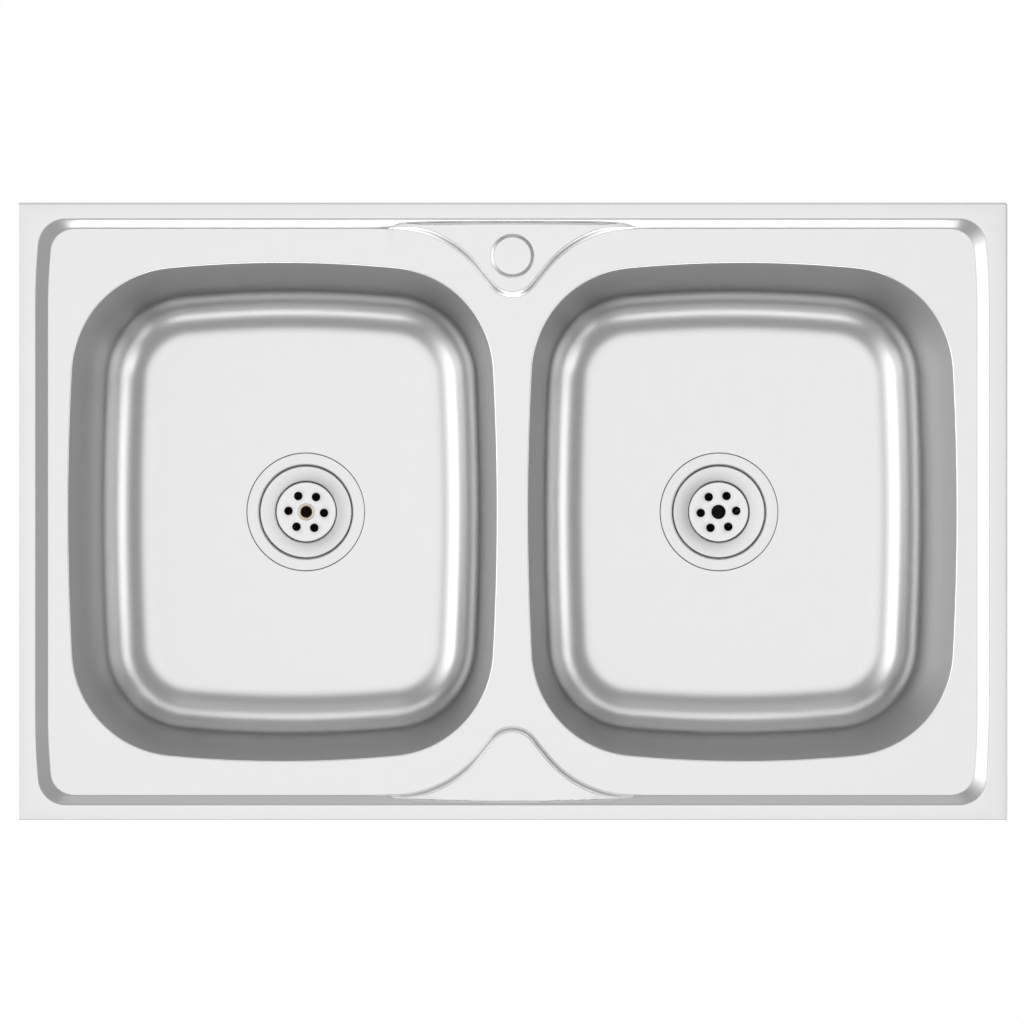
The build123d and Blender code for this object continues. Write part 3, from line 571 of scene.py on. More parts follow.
def settled(piece, sharp=40.0):
    """Plain mesh without modifiers or collapsed faces, shaded smooth between sharp edges."""
    if piece.modifiers:
        plain = plain_mesh(piece)
        piece.modifiers.clear()
        piece.data = plain
    bm = bmesh.new()
    bm.from_mesh(piece.data)
    if any(edge.calc_length() < COLLAPSED for edge in bm.edges):
        bmesh.ops.dissolve_degenerate(bm, dist=COLLAPSED, edges=bm.edges)
        bm.to_mesh(piece.data)
    bm.free()
    piece.data.shade_smooth()
    piece.data.set_sharp_from_angle(angle=math.radians(sharp))


def rounded_profile(corners, steps=5):
    """Profile of (radius, level) points with its corners rounded; corners are (r, z, round)."""
    points = []
    for i, (r, z, soft) in enumerate(corners):
        if not soft or i in (0, len(corners) - 1):
            points.append((r, z))
            continue
        here = Vector((r, z))
        before = Vector(corners[i - 1][:2]) - here
        after = Vector(corners[i + 1][:2]) - here
        start, end = here + before.normalized() * soft, here + after.normalized() * soft
        for k in range(steps + 1):
            t = k / steps
            p = start * (1 - t) ** 2 + here * 2 * t * (1 - t) + end * t ** 2
            points.append((p.x, p.y))
    return points


def turned(profile, x=0.0, y=0.0, level=0.0, count=ROUND_POINTS):
    """Patch of a surface of revolution; the profile runs from the outside inwards."""
    rings = [[(px, py, z + level) for px, py in circle(x, y, r, count)] for r, z in profile]
    return ring_faces(rings)


def punched_plate(x, outer_r, inner_r, places, hole_r, level):
    """Patch of a flat round plate of a waste, with a centre hole and more at the places."""
    loops = [circle(x, 0, outer_r), circle(x, 0, inner_r, CENTRE_HOLE_POINTS)]
    loops += [circle(hole_x, hole_y, hole_r, HOLE_POINTS) for hole_x, hole_y in places]

    def stays(px, py):
        far = np.hypot(px - x, py)
        keep = (far < outer_r) & (far > inner_r)
        for hole_x, hole_y in places:
            keep &= np.hypot(px - hole_x, py - hole_y) > hole_r
        return keep

    flat, triangles = plan_mesh(loops, [], stays)
    return [(px, py, FLOOR_TOP + level) for px, py in flat], triangles.tolist()


# ---- pressed deck
def crease_fractions(soft, width):
    """Places across a sloping band, from 0 to 1 with the roundings at both ends."""
    s = soft / width
    return [s * k for k in CREASE_STEPS] + [0.5] + [1 - s * k for k in reversed(CREASE_STEPS)]


def deck_loops():
    """Closed loops along every crease of the deck, all the way round."""
    rim = rim_outline()
    loops = []
    for degrees in range(0, 91, EDGE_ROLL_STEP):
        inset = EDGE_ROLL_R * (1 - math.sin(math.radians(degrees)))
        loops.append(trace(rim, -inset, RIM_RUN, RIM_TURN))
    mouth, foot = (trace(outline, 0, RECESS_RUN, RECESS_TURN) for outline in (
        recess_outline(STEP_FOOT_X + STEP_SIDE, STEP_FOOT_Y + STEP_END, RECESS_CORNER_R),
        recess_outline(STEP_FOOT_X, STEP_FOOT_Y, RECESS_FOOT_R)))
    for t in crease_fractions(STEP_SOFT, STEP_END):
        loops.append([(a[0] + (b[0] - a[0]) * t, a[1] + (b[1] - a[1]) * t)
                      for a, b in zip(mouth, foot)])
    barrel = barrel_outline()
    reach, roll_end = mouth_reach(), math.pi / 2 - BOWL_DRAFT
    grows = [reach + 0.5] + [reach - MOUTH_ROLL_R * math.sin(roll_end * k / MOUTH_STEPS)
                             for k in range(MOUTH_STEPS + 1)]
    grows.append(grows[-1] - MOUTH_WALL * math.tan(BOWL_DRAFT))
    for x_sign in (-1, 1):
        for grow in grows:
            loops.append([(x_sign * BOWL_X + x, y) for x, y in trace(barrel, grow)])
    loops += [circle(0, TAP_Y, TAP_HOLE_R + TAP_SCORE * k) for k in (0.0, 0.1, 0.4, 0.7, 1.2)]
    return loops


def island_lines():
    """Open lines along the front creases of both islands, and rows over their backs."""
    edge = island_outline()
    tip = island_places()[1] + ISLAND_ROW_LAP
    across = [(i / ISLAND_COLUMNS * 2 - 1) * tip for i in range(ISLAND_COLUMNS + 1)]
    lines = []
    for flip, (back_y, _, bend) in ISLAND_BACK.items():
        for t in crease_fractions(ISLAND_SOFT, ISLAND_EDGE):
            points = trace(edge, ISLAND_OUT - t * ISLAND_EDGE, ISLAND_RUN, ISLAND_TURN)
            lines.append([(x, flip * y) for x, y in points if y < back_y + 1.0])
        for y in np.arange(back_y - bend - 0.6, STEP_FOOT_Y + STEP_END + 1.2, ISLAND_ROWS):
            lines.append([(x, flip * y) for x in across])
    return lines


def make_deck(material):
    """Pressed sheet: rim with a turned edge, step, islands, rolled bowl mouths and tap hole."""
    def stays(x, y):
        off_mouth = barrel_outside(np.abs(x) - BOWL_X, y) > mouth_end()
        return off_mouth & (np.hypot(x, y - TAP_Y) > TAP_HOLE_R)

    flat, triangles = plan_mesh(deck_loops(), island_lines(), stays)
    heights = deck_height(flat[:, 0], flat[:, 1])
    top = [(x, y, z) for (x, y), z in zip(flat.tolist(), heights.tolist())]
    edge = trace(rim_outline(), 0.0, RIM_RUN, RIM_TURN)
    hem = [[(x, y, z) for x, y in edge] for z in (0.0, RIM_TOP - EDGE_ROLL_R)]
    bm = join_patches([(top, triangles.tolist()), ring_faces(hem)])
    deck = finish_mesh("deck_sheet", bm, material, thick=SHEET)
    under = deck.data.vertices[len(deck.data.vertices) // 2:]
    for above, below in zip(deck.data.vertices, under):
        way = below.co - above.co
        if way.length > STRAY * SHEET * MM:
            below.co = above.co + way.normalized() * SHEET * MM
    return deck


def make_tap_blank(material):
    """Disc pressed up in the tap hole and held by its scored edge."""
    top = RIM_TOP + TAP_BLANK_RISE
    middle_r = 2.0
    profile = rounded_profile([
        (TAP_HOLE_R, RIM_TOP - TAP_SCORE, 0), (TAP_HOLE_R - 0.15, RIM_TOP, 0.15),
        (TAP_HOLE_R - TAP_BLANK_EDGE, top, 0.7), (middle_r, top, 0)])
    middle = [(x, y, top) for x, y in circle(0, TAP_Y, middle_r)]
    patches = [turned(profile, 0, TAP_Y), (middle, [list(range(ROUND_POINTS))])]
    return finish_mesh("tap_blank", join_patches(patches), material, thick=SHEET)


# ---- bowls
def bowl_profile():
    """(inset, level) down a bowl's wall and round into its floor."""
    depth = DECK_TOP - FLOOR_TOP
    floor_inset = (depth * math.tan(BOWL_DRAFT)
                   + BOWL_FLOOR_R * math.tan(math.pi / 4 - BOWL_DRAFT / 2))
    start = -mouth_end()
    points = []
    wall_end = floor_inset - BOWL_FLOOR_R * math.cos(BOWL_DRAFT)
    for t in BOWL_WALL_STEPS:
        inset = start + (wall_end - start) * t
        points.append((inset, DECK_TOP - inset / math.tan(BOWL_DRAFT)))
    for k in range(BOWL_FOLD_STEPS + 1):
        angle = BOWL_DRAFT + (math.pi / 2 - BOWL_DRAFT) * k / BOWL_FOLD_STEPS
        points.append((floor_inset - BOWL_FLOOR_R * math.cos(angle),
                       FLOOR_TOP + BOWL_FLOOR_R * (1 - math.sin(angle))))
    points.append((floor_inset + BOWL_FLOOR_LAP, FLOOR_TOP))
    return points


def make_bowl(side, material):
    """Drawn bowl with sloping walls, rounded floor and the sunk seat of its waste."""
    x_sign = SIDES[side]
    bowl_x, drain_x = x_sign * BOWL_X, x_sign * DRAIN_X
    barrel = barrel_outline()
    profile = bowl_profile()
    rings = [[(bowl_x + x, y, z) for x, y in trace(barrel, -inset)] for inset, z in profile]
    around_r = SEAT_R + BOWL_FLOOR_LAP
    seat = rounded_profile([
        (around_r, 0, 0), (SEAT_R, 0, SEAT_SOFT), (SEAT_R, -SEAT_DEPTH, SEAT_FILLET),
        (WASTE_HOLE_R, -SEAT_DEPTH, 0)])
    fold_end = [(x, y) for x, y, _ in rings[-1]]

    def stays(x, y):
        within = barrel_outside(x - bowl_x, y) < -profile[-1][0]
        return within & (np.hypot(x - drain_x, y) > around_r)

    flat, triangles = plan_mesh([fold_end, circle(drain_x, 0, around_r)], [], stays)
    floor = [(x, y, FLOOR_TOP) for x, y in flat.tolist()]
    patches = [ring_faces(rings), (floor, triangles.tolist()),
               turned(seat, drain_x, 0, FLOOR_TOP)]
    return finish_mesh(f"{side}_bowl_sheet", join_patches(patches), material, thick=SHEET)


# ---- wastes
def make_waste_cup(side, material):
    """Pressed cup: flange, steep lip, ledge, wall and perforated bottom."""
    x = SIDES[side] * DRAIN_X
    plate_r = CUP_WALL_FOOT_R - CUP_BOTTOM_BEVEL - CUP_PLATE_LAP
    profile = rounded_profile([
        (FLANGE_R, -0.25, 0), (FLANGE_R - 0.3, 0, 0.2), (CUP_MOUTH_R, 0, 0.9),
        (LIP_FOOT_R, -CUP_LIP_DROP, 0.7), (LEDGE_R, LEDGE_Z, 0.8),
        (CUP_WALL_FOOT_R, -CUP_DEPTH + CUP_BOTTOM_BEVEL, 2.0),
        (CUP_WALL_FOOT_R - CUP_BOTTOM_BEVEL, -CUP_DEPTH, 2.0), (plate_r, -CUP_DEPTH, 0)])
    places = circle(x, 0, CUP_HOLE_CIRCLE_R, CUP_HOLE_COUNT)
    plate = punched_plate(x, plate_r, CLAMP_SCREW_HOLE_R, places, CUP_HOLE_R, -CUP_DEPTH)
    bm = join_patches([turned(profile, x, 0, FLOOR_TOP), plate])
    return finish_mesh(f"{side}_cup", bm, material, thick=SHEET, bevel=PUNCHED_EDGE)


def make_strainer(side, material):
    """Lift-out strainer: conical dish, steep step, plate with six holes and a centre hole."""
    x = SIDES[side] * DRAIN_X
    plate_r = STRAINER_PLATE_R - STRAINER_PLATE_LAP
    profile = rounded_profile([
        (STRAINER_R, STRAINER_RIM - 0.2, 0), (STRAINER_R - 0.2, STRAINER_RIM, 0.15),
        (STRAINER_PLATE_R + STRAINER_STEP_RUN, STRAINER_CONE, 0.6),
        (STRAINER_PLATE_R, STRAINER_PLATE, 0.6), (plate_r, STRAINER_PLATE, 0)])
    places = circle(x, 0, STRAINER_HOLE_CIRCLE_R, STRAINER_HOLE_COUNT,
                    math.radians(SIDES[side] * STRAINER_TURN))
    plate = punched_plate(x, plate_r, STRAINER_CENTRE_R, places, STRAINER_HOLE_R,
                          STRAINER_PLATE)
    bm = join_patches([turned(profile, x, 0, FLOOR_TOP), plate])
    return finish_mesh(f"{side}_strainer_dish", bm, material, thick=STRAINER_SHEET,
                       bevel=PUNCHED_EDGE)


def make_eyelet(material):
    """Brass eyelet pressed into the left strainer's centre hole."""
    level = STRAINER_PLATE
    profile = [
        (EYELET_BORE_R + 0.25, level - EYELET_LENGTH), (EYELET_BORE_R, level - EYELET_LENGTH + 0.2),
        (EYELET_BORE_R, level - 0.9), (EYELET_BORE_R + 0.2, level - 0.1),
        (EYELET_BORE_R + 0.8, level + 0.42), (EYELET_BORE_R + 1.4, level + EYELET_THICK),
        (EYELET_FLANGE_R - 0.4, level + EYELET_THICK - 0.1), (EYELET_FLANGE_R, level + 0.12),
        (EYELET_FLANGE_R, level), (STRAINER_CENTRE_R, level),
        (STRAINER_CENTRE_R, level - EYELET_LENGTH), (EYELET_BORE_R + 0.25, level - EYELET_LENGTH)]
    bm = join_patches([turned(profile[::-1], -DRAIN_X, 0, FLOOR_TOP, EYELET_POINTS)])
    return finish_mesh("brass_eyelet", bm, material, sharp=50.0)


# ---- helpers for node trees
def set_inputs(node, **values):
    for key, value in values.items():
        node.inputs[key.replace("_", " ")].default_value = value


def math_node(tree, operation, first, second=0.0):
    """Output of a math node on two values, each an output or a number."""
    node = tree.nodes.new("ShaderNodeMath")
    node.operation = operation
    for socket, value in zip(node.inputs, (first, second)):
        if isinstance(value, (int, float)):
            socket.default_value = value
        else:
            tree.links.new(value, socket)
    return node.outputs[0]


def mapped(tree, value, smooth=False, **limits):
    """Output of a map range node with the given limits."""
    node = tree.nodes.new("ShaderNodeMapRange")
    if smooth:
        node.interpolation_type = "SMOOTHSTEP"
    set_inputs(node, **limits)
    tree.links.new(value, node.inputs["Value"])
    return node.outputs["Result"]


def object_axes(tree):
    """Outputs X, Y and Z of the object's own coordinates."""
    place = tree.nodes.new("ShaderNodeTexCoord")
    parts = tree.nodes.new("ShaderNodeSeparateXYZ")
    tree.links.new(place.outputs["Object"], parts.inputs[0])
    return parts.outputs


# ---- pieces under the sink
def thread_group():
    """Geometry nodes: a rounded ridge that winds round the Z axis from the level 0 upwards."""
    group = bpy.data.node_groups.new("screw_thread", "GeometryNodeTree")
    face = group.interface
    given_sockets = {}
    for name, kind, default in (("Crest radius", "NodeSocketFloat", 0.003),
                                ("Ridge radius", "NodeSocketFloat", 0.0003),
                                ("Pitch", "NodeSocketFloat", 0.001),
                                ("Length", "NodeSocketFloat", 0.02),
                                ("Points a turn", "NodeSocketInt", 24),
                                ("Material", "NodeSocketMaterial", None)):
        socket = face.new_socket(name, in_out="INPUT", socket_type=kind)
        if default is not None:
            socket.default_value = default
        given_sockets[name] = socket.identifier
    face.new_socket("Geometry", in_out="OUTPUT", socket_type="NodeSocketGeometry")
    nodes, links = group.nodes, group.links
    given = nodes.new("NodeGroupInput").outputs
    turns = math_node(group, "DIVIDE", given["Length"], given["Pitch"])
    middle = math_node(group, "SUBTRACT", given["Crest radius"], given["Ridge radius"])
    path = nodes.new("GeometryNodeCurveSpiral")
    links.new(given["Points a turn"], path.inputs["Resolution"])
    links.new(turns, path.inputs["Rotations"])
    links.new(middle, path.inputs["Start Radius"])
    links.new(middle, path.inputs["End Radius"])
    links.new(given["Length"], path.inputs["Height"])
    ridge = nodes.new("GeometryNodeCurvePrimitiveCircle")
    ridge.inputs["Resolution"].default_value = 8
    links.new(given["Ridge radius"], ridge.inputs["Radius"])
    sweep = nodes.new("GeometryNodeCurveToMesh")
    sweep.inputs["Fill Caps"].default_value = True
    links.new(path.outputs["Curve"], sweep.inputs["Curve"])
    links.new(ridge.outputs["Curve"], sweep.inputs["Profile Curve"])
    real = nodes.new("GeometryNodeRealizeInstances")
    links.new(sweep.outputs["Mesh"], real.inputs[0])
    paint_it = nodes.new("GeometryNodeSetMaterial")
    links.new(real.outputs[0], paint_it.inputs["Geometry"])
    links.new(given["Material"], paint_it.inputs["Material"])
    links.new(paint_it.outputs[0], nodes.new("NodeGroupOutput").inputs[0])
    return group, given_sockets


def thread_mesh(thread, crest_r, ridge_r, pitch, length, points, material):
    """Plain mesh of one thread, in metres."""
    group, sockets = thread
    holder = placed("thread", bpy.data.meshes.new("thread"))
    winding = holder.modifiers.new("thread", "NODES")
    winding.node_group = group
    for name, value in (("Crest radius", crest_r * MM), ("Ridge radius", ridge_r * MM),
                        ("Pitch", pitch * MM), ("Length", length * MM),
                        ("Points a turn", points), ("Material", material)):
        winding[sockets[name]] = value
    bpy.context.view_layer.update()
    mesh = plain_mesh(holder)
    bpy.data.objects.remove(holder)
    return mesh


def add_mesh(piece, mesh, x, y, z):
    """Joins a mesh into a piece, moved to its place given in millimetres."""
    bm = bmesh.new()
    bm.from_mesh(mesh)
    bmesh.ops.translate(bm, verts=bm.verts, vec=(x * MM, y * MM, z * MM))
    bm.from_mesh(piece.data)
    bmesh.ops.recalc_face_normals(bm, faces=bm.faces)
    for face in bm.faces:
        face.material_index = 0
    bm.to_mesh(piece.data)
    bm.free()
    settled(piece)


def softened(source, material, shape=None):
    """Copy of a node's mesh with small rounded edges; shape moves its vertices first."""
    width = next(size for part, size in ROUNDED.items() if source.name.endswith(part))
    bm = bmesh.new()
    bm.from_mesh(source.data)
    bmesh.ops.transform(bm, matrix=source.matrix_world, verts=bm.verts)
    bmesh.ops.remove_doubles(bm, verts=bm.verts, dist=SAME_POINT)
    if shape:
        for vertex in bm.verts:
            vertex.co = shape(vertex.co)
    bmesh.ops.dissolve_limit(bm, angle_limit=FLAT, verts=bm.verts, edges=bm.edges)
    bmesh.ops.scale(bm, vec=(1 / MM, 1 / MM, 1 / MM), verts=bm.verts)
    return finish_mesh(f"{source.name}_form", bm, material, bevel=width, sharp=35.0)


def thinner_shaft(x, y, low, high, thin_r):
    """Brings a screw's shaft from its crests down to the root of its thread."""
    def shape(place):
        out_x, out_y = place.x - x * MM, place.y - y * MM
        far = math.hypot(out_x, out_y)
        if abs(far - SCREW_R * MM) < ON_SHAFT and low * MM < place.z < high * MM:
            k = thin_r * MM / far
            return Vector((x * MM + out_x * k, y * MM + out_y * k, place.z))
        return place
    return shape


def make_screw(source, thread, x, y, start, end, material):
    """Screw with its head and socket from the model, and a thread wound round its shaft."""
    root = SCREW_R - THREAD_ROOT * SCREW_RIDGE
    thinner = thinner_shaft(x, y, start - SCREW_RUNOUT, end + SCREW_RUNOUT, root)
    piece = softened(source, material, thinner)
    mesh = thread_mesh(thread, SCREW_R, SCREW_RIDGE, SCREW_PITCH, end - start,
                       SCREW_ROUND_POINTS, material)
    add_mesh(piece, mesh, x, y, start)
    return piece


def make_outlet(side, thread, material):
    """Outlet of the waste body with its round thread."""
    x = SIDES[side] * DRAIN_X
    root = OUTLET_R - THREAD_ROOT * OUTLET_RIDGE
    profile = [
        (OUTLET_BORE_R, OUTLET_END + 0.6), (OUTLET_BORE_R, OUTLET_TOP), (root, OUTLET_TOP),
        (root, OUTLET_END + 0.5), (root - 0.5, OUTLET_END), (OUTLET_BORE_R + 0.6, OUTLET_END),
        (OUTLET_BORE_R, OUTLET_END + 0.6)]
    bm = join_patches([turned(profile[::-1], x, 0, FLOOR_TOP)])
    piece = finish_mesh(f"{side}_outlet", bm, material, sharp=30.0)
    length = OUTLET_TOP - OUTLET_END - 2 * OUTLET_RIDGE - 1.0
    mesh = thread_mesh(thread, OUTLET_R, OUTLET_RIDGE, OUTLET_PITCH, length,
                       OUTLET_ROUND_POINTS, material)
    add_mesh(piece, mesh, x, 0, FLOOR_TOP + OUTLET_END + OUTLET_RIDGE + 0.5)
    return piece


# ---- materials
def shader(name):
    """New material, and its Principled shader."""
    material = bpy.data.materials.new(name)
    material.use_nodes = True
    return material, material.node_tree.nodes["Principled BSDF"]


def grain_group():
    """Fine grain: noise between 0 and 1, of a given size in the object's own space."""
    group = bpy.data.node_groups.new("fine_grain", "ShaderNodeTree")
    group.interface.new_socket("Grain size", in_out="INPUT", socket_type="NodeSocketFloat")
    group.interface.new_socket("Mask", in_out="OUTPUT", socket_type="NodeSocketFloat")
    nodes, links = group.nodes, group.links
    given, result = nodes.new("NodeGroupInput"), nodes.new("NodeGroupOutput")
    place = nodes.new("ShaderNodeTexCoord")
    noise = nodes.new("ShaderNodeTexNoise")
    set_inputs(noise, Detail=3.0, Roughness=0.6)
    links.new(place.outputs["Object"], noise.inputs["Vector"])
    links.new(given.outputs["Grain size"], noise.inputs["Scale"])
    links.new(noise.outputs["Fac"], result.inputs["Mask"])
    return group


def add_grain(material, grain, roughness, spread, bump, size):
    """Lets a fine grain vary a material's roughness and bend its normal by bump millimetres."""
    tree = material.node_tree
    body = tree.nodes["Principled BSDF"]
    drawn = tree.nodes.new("ShaderNodeGroup")
    drawn.node_tree = grain
    drawn.inputs["Grain size"].default_value = size
    gloss = mapped(tree, drawn.outputs["Mask"], From_Min=0.3, From_Max=0.7,
                   To_Min=roughness - spread, To_Max=roughness + spread)
    tree.links.new(gloss, body.inputs["Roughness"])
    if bump:
        relief = tree.nodes.new("ShaderNodeBump")
        set_inputs(relief, Strength=0.6, Distance=bump * MM)
        tree.links.new(drawn.outputs["Mask"], relief.inputs["Height"])
        tree.links.new(relief.outputs["Normal"], body.inputs["Normal"])


def steel(name, color, roughness, edge):
    """Metal of one gloss; edge dims it where it is seen at a grazing angle."""
    material, body = shader(name)
    set_inputs(body, Base_Color=(*color, 1.0), Metallic=1.0, Roughness=roughness,
               Specular_Tint=(edge, edge, edge, 1.0))
    return material


def grained_steel(name, grain, color, roughness, edge, spread, bump=0.0, size=900.0):
    """Metal whose gloss and relief vary a little with a fine grain."""
    material = steel(name, color, roughness, edge)
    add_grain(material, grain, roughness, spread, bump, size)
    return material


def shade_painted_steel(name, color, roughness, edge, bands):
    """Polished steel with painted shade: dark and rough between given levels, where shade is
    painted in on a strainer's step and deep in a cup.
    """
    material = steel(name, color, roughness, edge)
    tree = material.node_tree
    body = tree.nodes["Principled BSDF"]
    height = object_axes(tree)["Z"]
    unshaded_share = None
    for start, end, share_start, share_end in bands:
        level = mapped(tree, height, From_Min=(FLOOR_TOP + start) * MM,
                       From_Max=(FLOOR_TOP + end) * MM, To_Min=share_start, To_Max=share_end)
        unshaded_share = level if unshaded_share is None else math_node(tree, "MAXIMUM", unshaded_share, level)
    # Painted shade: the base colour goes from the steel's own to a dark one where the share falls.
    shade = tree.nodes.new("ShaderNodeMix")
    shade.data_type = "RGBA"
    set_inputs(shade, A=(*SHADE_PAINT_COLOR, 1.0), B=(*color, 1.0))
    tree.links.new(unshaded_share, shade.inputs["Factor"])
    tree.links.new(shade.outputs["Result"], body.inputs["Base Color"])
    gloss = mapped(tree, unshaded_share, To_Min=DULL_ROUGHNESS, To_Max=roughness)
    tree.links.new(gloss, body.inputs["Roughness"])
    return material


def matte(name, grain, color, roughness, bump, size):
    """Rubber, foam or plastic with a fine relief."""
    material, body = shader(name)
    set_inputs(body, Base_Color=(*color, 1.0), Roughness=roughness)
    add_grain(material, grain, roughness, MATTE_SPREAD, bump, size)
    return material


def make_looks():
    """Every material by its short name."""
    grain = grain_group()
    return {
        "satin": grained_steel("satin_stainless", grain, (0.82, 0.82, 0.82), 0.28, 0.5, 0.006,
                               size=60.0),
        # The wastes and strainers carry painted shade in dark, rough bands.
        "waste": shade_painted_steel("waste_stainless", (0.81, 0.81, 0.81), 0.28, 0.5, CUP_SHADE_BANDS),
        "strainer": shade_painted_steel("strainer_stainless", (0.82, 0.82, 0.82), 0.26, 0.5,
                                STRAINER_SHADE_BANDS),
        "brass": grained_steel("pale_brass", grain, (0.92, 0.82, 0.68), 0.35, 0.8, 0.04),
        "dark_steel": grained_steel("blackened_steel", grain, (0.04, 0.04, 0.042), 0.5, 1.0,
                                    0.06),
        "zinc": grained_steel("zinc_plate", grain, (0.66, 0.67, 0.69), 0.36, 0.8, 0.08, 0.01,
                              500.0),
        "plastic": matte("moulded_plastic", grain, (0.82, 0.82, 0.80), 0.5, 0.01, 1500.0),
        "rubber": matte("black_rubber", grain, (0.03, 0.03, 0.03), 0.6, 0.02, 1200.0),
        "foam": matte("closed_cell_foam", grain, (0.25, 0.25, 0.26), 0.9, 0.2, 1100.0),
        "pad": matte("damping_sheet", grain, (0.06, 0.06, 0.065), 0.65, 0.15, 350.0),
    }


# ---- stage, light and camera
def make_floor():
    """Pale floor that shows white to the camera and keeps the shadow under the object."""
    mesh = bpy.data.meshes.new("floor")
    corners = ((-1, -1), (1, -1), (1, 1), (-1, 1))
    mesh.from_pydata([(x * FLOOR_HALF, y * FLOOR_HALF, FLOOR_LEVEL) for x, y in corners],
                     [], [(0, 1, 2, 3)])
    floor = placed("floor", mesh)
    material, body = shader("pale_floor")
    set_inputs(body, Base_Color=(0.9, 0.9, 0.9, 1.0), Roughness=0.9)
    tree = material.node_tree
    place = object_axes(tree)
    outside = []
    for axis, half in (("X", HALF_LENGTH), ("Y", HALF_WIDTH)):
        far = math_node(tree, "ABSOLUTE", place[axis])
        past = math_node(tree, "SUBTRACT", far, (half - SHADOW_INSET) * MM)
        out = math_node(tree, "MAXIMUM", past, 0.0)
        outside.append(math_node(tree, "MULTIPLY", out, out))
    distance = math_node(tree, "SQRT", math_node(tree, "ADD", *outside))
    share = mapped(tree, distance, True, From_Max=(SHADOW_INSET + SHADOW_REACH) * MM,
                   To_Max=WHITE_SHARE)
    rays = tree.nodes.new("ShaderNodeLightPath").outputs
    seen = math_node(tree, "MAXIMUM", rays["Is Camera Ray"], rays["Is Glossy Ray"])
    white = tree.nodes.new("ShaderNodeEmission")
    mix = tree.nodes.new("ShaderNodeMixShader")
    tree.links.new(math_node(tree, "MULTIPLY", seen, share), mix.inputs["Fac"])
    tree.links.new(body.outputs[0], mix.inputs[1])
    tree.links.new(white.outputs[0], mix.inputs[2])
    tree.links.new(mix.outputs[0], tree.nodes["Material Output"].inputs["Surface"])
    coat(mesh, material)


def make_world():
    """Studio dome: a broad light above, dim sides with soft side lights, a bright horizon."""
    world = bpy.data.worlds.new("studio")
    bpy.context.scene.world = world
    world.use_nodes = True
    tree = world.node_tree
    place = tree.nodes.new("ShaderNodeTexCoord")

    def lit_towards(zenith_angle, bearing, start, end, level_start, level_end):
        """Level that runs from one value to another with the angle off a direction."""
        tilt, turn = math.radians(zenith_angle), math.radians(bearing)
        across = tree.nodes.new("ShaderNodeVectorMath")
        across.operation = "DOT_PRODUCT"
        across.inputs[1].default_value = (math.sin(tilt) * math.cos(turn),
                                          math.sin(tilt) * math.sin(turn), math.cos(tilt))
        tree.links.new(place.outputs["Generated"], across.inputs[0])
        angle = math_node(tree, "ARCCOSINE", across.outputs["Value"])
        return mapped(tree, angle, True, From_Min=math.radians(start),
                      From_Max=math.radians(end), To_Min=level_start, To_Max=level_end)

    total = math_node(tree, "ADD", lit_towards(0, 0, *OVERHEAD_EDGE, OVERHEAD, DIM),
                      lit_towards(0, 0, *HORIZON_EDGE, 0.0, HORIZON))
    for strength, zenith_angle, bearing, even, falloff in SIDE_LIGHTS:
        light = lit_towards(zenith_angle, bearing, even, even + falloff, strength, 0.0)
        total = math_node(tree, "ADD", total, light)
    background = tree.nodes["Background"]
    tree.links.new(total, background.inputs["Strength"])
    set_inputs(background, Color=(1.0, 1.0, 1.0, 1.0))


def make_camera():
    """Camera straight above the sink, as in the photograph."""
    data = bpy.data.cameras.new("camera")
    data.sensor_width = SENSOR
    data.lens = PIXELS_PER_MM * CAMERA_HEIGHT / PICTURE * data.sensor_width
    data.clip_end = 50.0
    camera = placed("camera", data)
    shift_x, shift_y = (pixels / PIXELS_PER_MM * MM for pixels in CAMERA_SHIFT)
    camera.location = (shift_x, shift_y, (RIM_TOP + CAMERA_HEIGHT) * MM)
    bpy.context.scene.camera = camera


# ---- the whole sink
def dress(piece, node, body="sink"):
    """A piece that stands for a node of the model."""
    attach(piece, body)
    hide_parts(node)


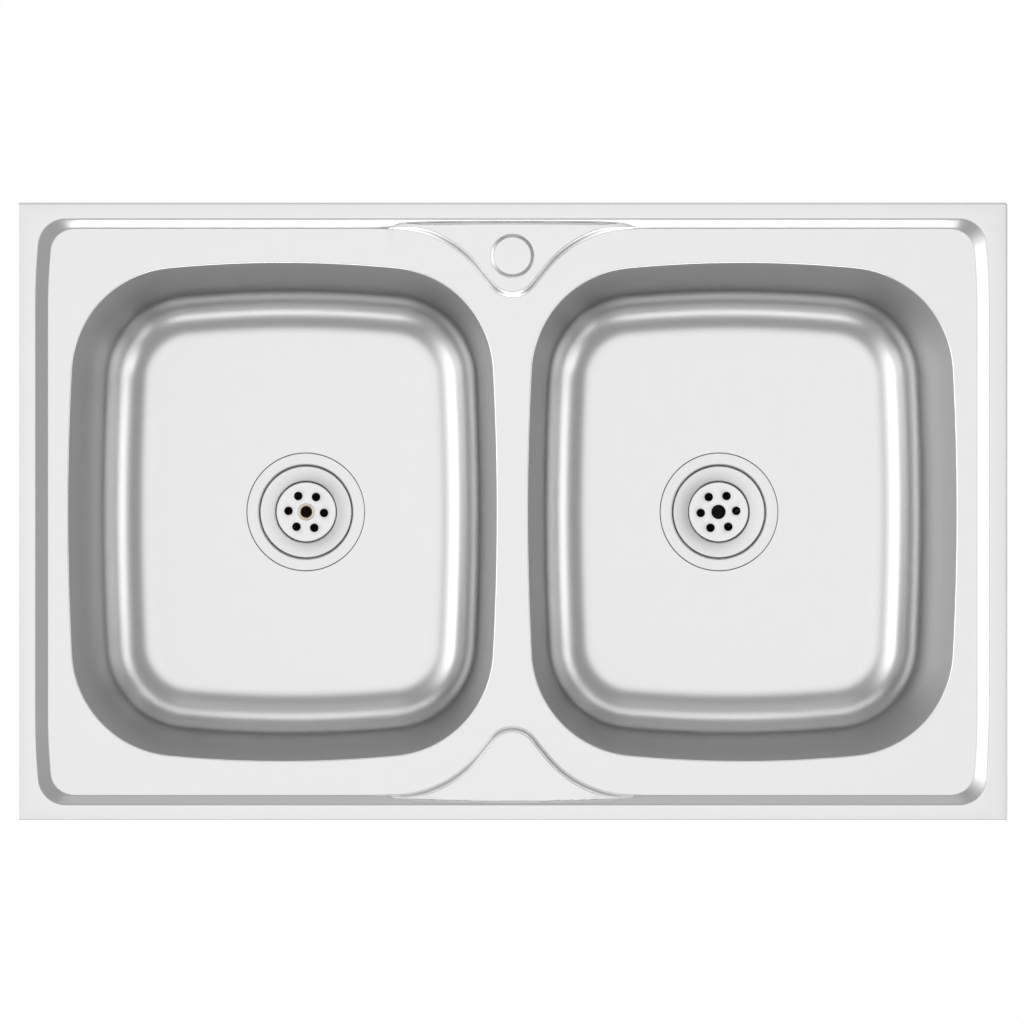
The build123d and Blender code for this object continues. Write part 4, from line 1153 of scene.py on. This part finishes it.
def dress_wastes(nodes, looks, thread):
    """Waste cups, strainers and, under the bowls, the moulded bodies with their screws."""
    for side, x_sign in SIDES.items():
        dress(make_waste_cup(side, looks["waste"]), f"{side}_waste_cup")
        dress(make_strainer(side, looks["strainer"]), f"{side}_strainer",
              f"{side}_strainer")
        dress(make_outlet(side, thread, looks["plastic"]), f"{side}_waste_outlet")
        for part, look, slot in (("waste_body", "plastic", "moulded_plastic"),
                                 ("waste_spider", "plastic", "moulded_plastic"),
                                 ("cup_gasket", "rubber", "rubber"),
                                 ("clamp_gasket", "rubber", "rubber")):
            node = f"{side}_{part}"
            dress(softened(nodes[node], looks[look]), node)
        node = f"{side}_clamp_screw"
        dress(make_screw(nodes[node], thread, x_sign * DRAIN_X, 0,
                         FLOOR_TOP + CLAMP_THREAD_START, FLOOR_TOP + CLAMP_THREAD_END,
                         looks["dark_steel"]), node)
        coat(nodes[f"{side}_thread_insert"].data, looks["brass"])
        node = f"{side}_sound_pad"
        dress(softened(nodes[node], looks["pad"]), node)
    dress(make_eyelet(looks["brass"]), "left_strainer_eyelet", "left_strainer")


def dress_clips(nodes, zinc, thread):
    """Brackets and weld nuts in one piece each, and every clip's screw, collar and jaw."""
    for group in ("clip_brackets", "clip_weld_nuts"):
        dress(softened(nodes[group], zinc), group)
    for name, (x, y) in CLIPS.items():
        node = f"{name}_clip_screw"
        dress(make_screw(nodes[node], thread, x, y, CLIP_THREAD_START, CLIP_THREAD_END, zinc),
              node, node)
        for node in (f"{name}_clip_collar", f"{name}_clip_jaw"):
            dress(softened(nodes[node], zinc), node, node)


def main():
    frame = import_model()
    nodes, looks, thread = frame["nodes"], make_looks(), thread_group()
    dress(make_deck(looks["satin"]), "deck")
    dress(make_tap_blank(looks["satin"]), "tap_hole_blank")
    for side in SIDES:
        bowl = make_bowl(side, looks["satin"])
        dress(bowl, f"{side}_bowl")
        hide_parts(f"{side}_bowl_floor")
    coat(nodes["rim_seal"].data, looks["foam"])
    dress_wastes(nodes, looks, thread)
    dress_clips(nodes, looks["zinc"], thread)
    make_floor()
    make_world()
    make_camera()
    bpy.context.scene.view_settings.view_transform = "Standard"


main()
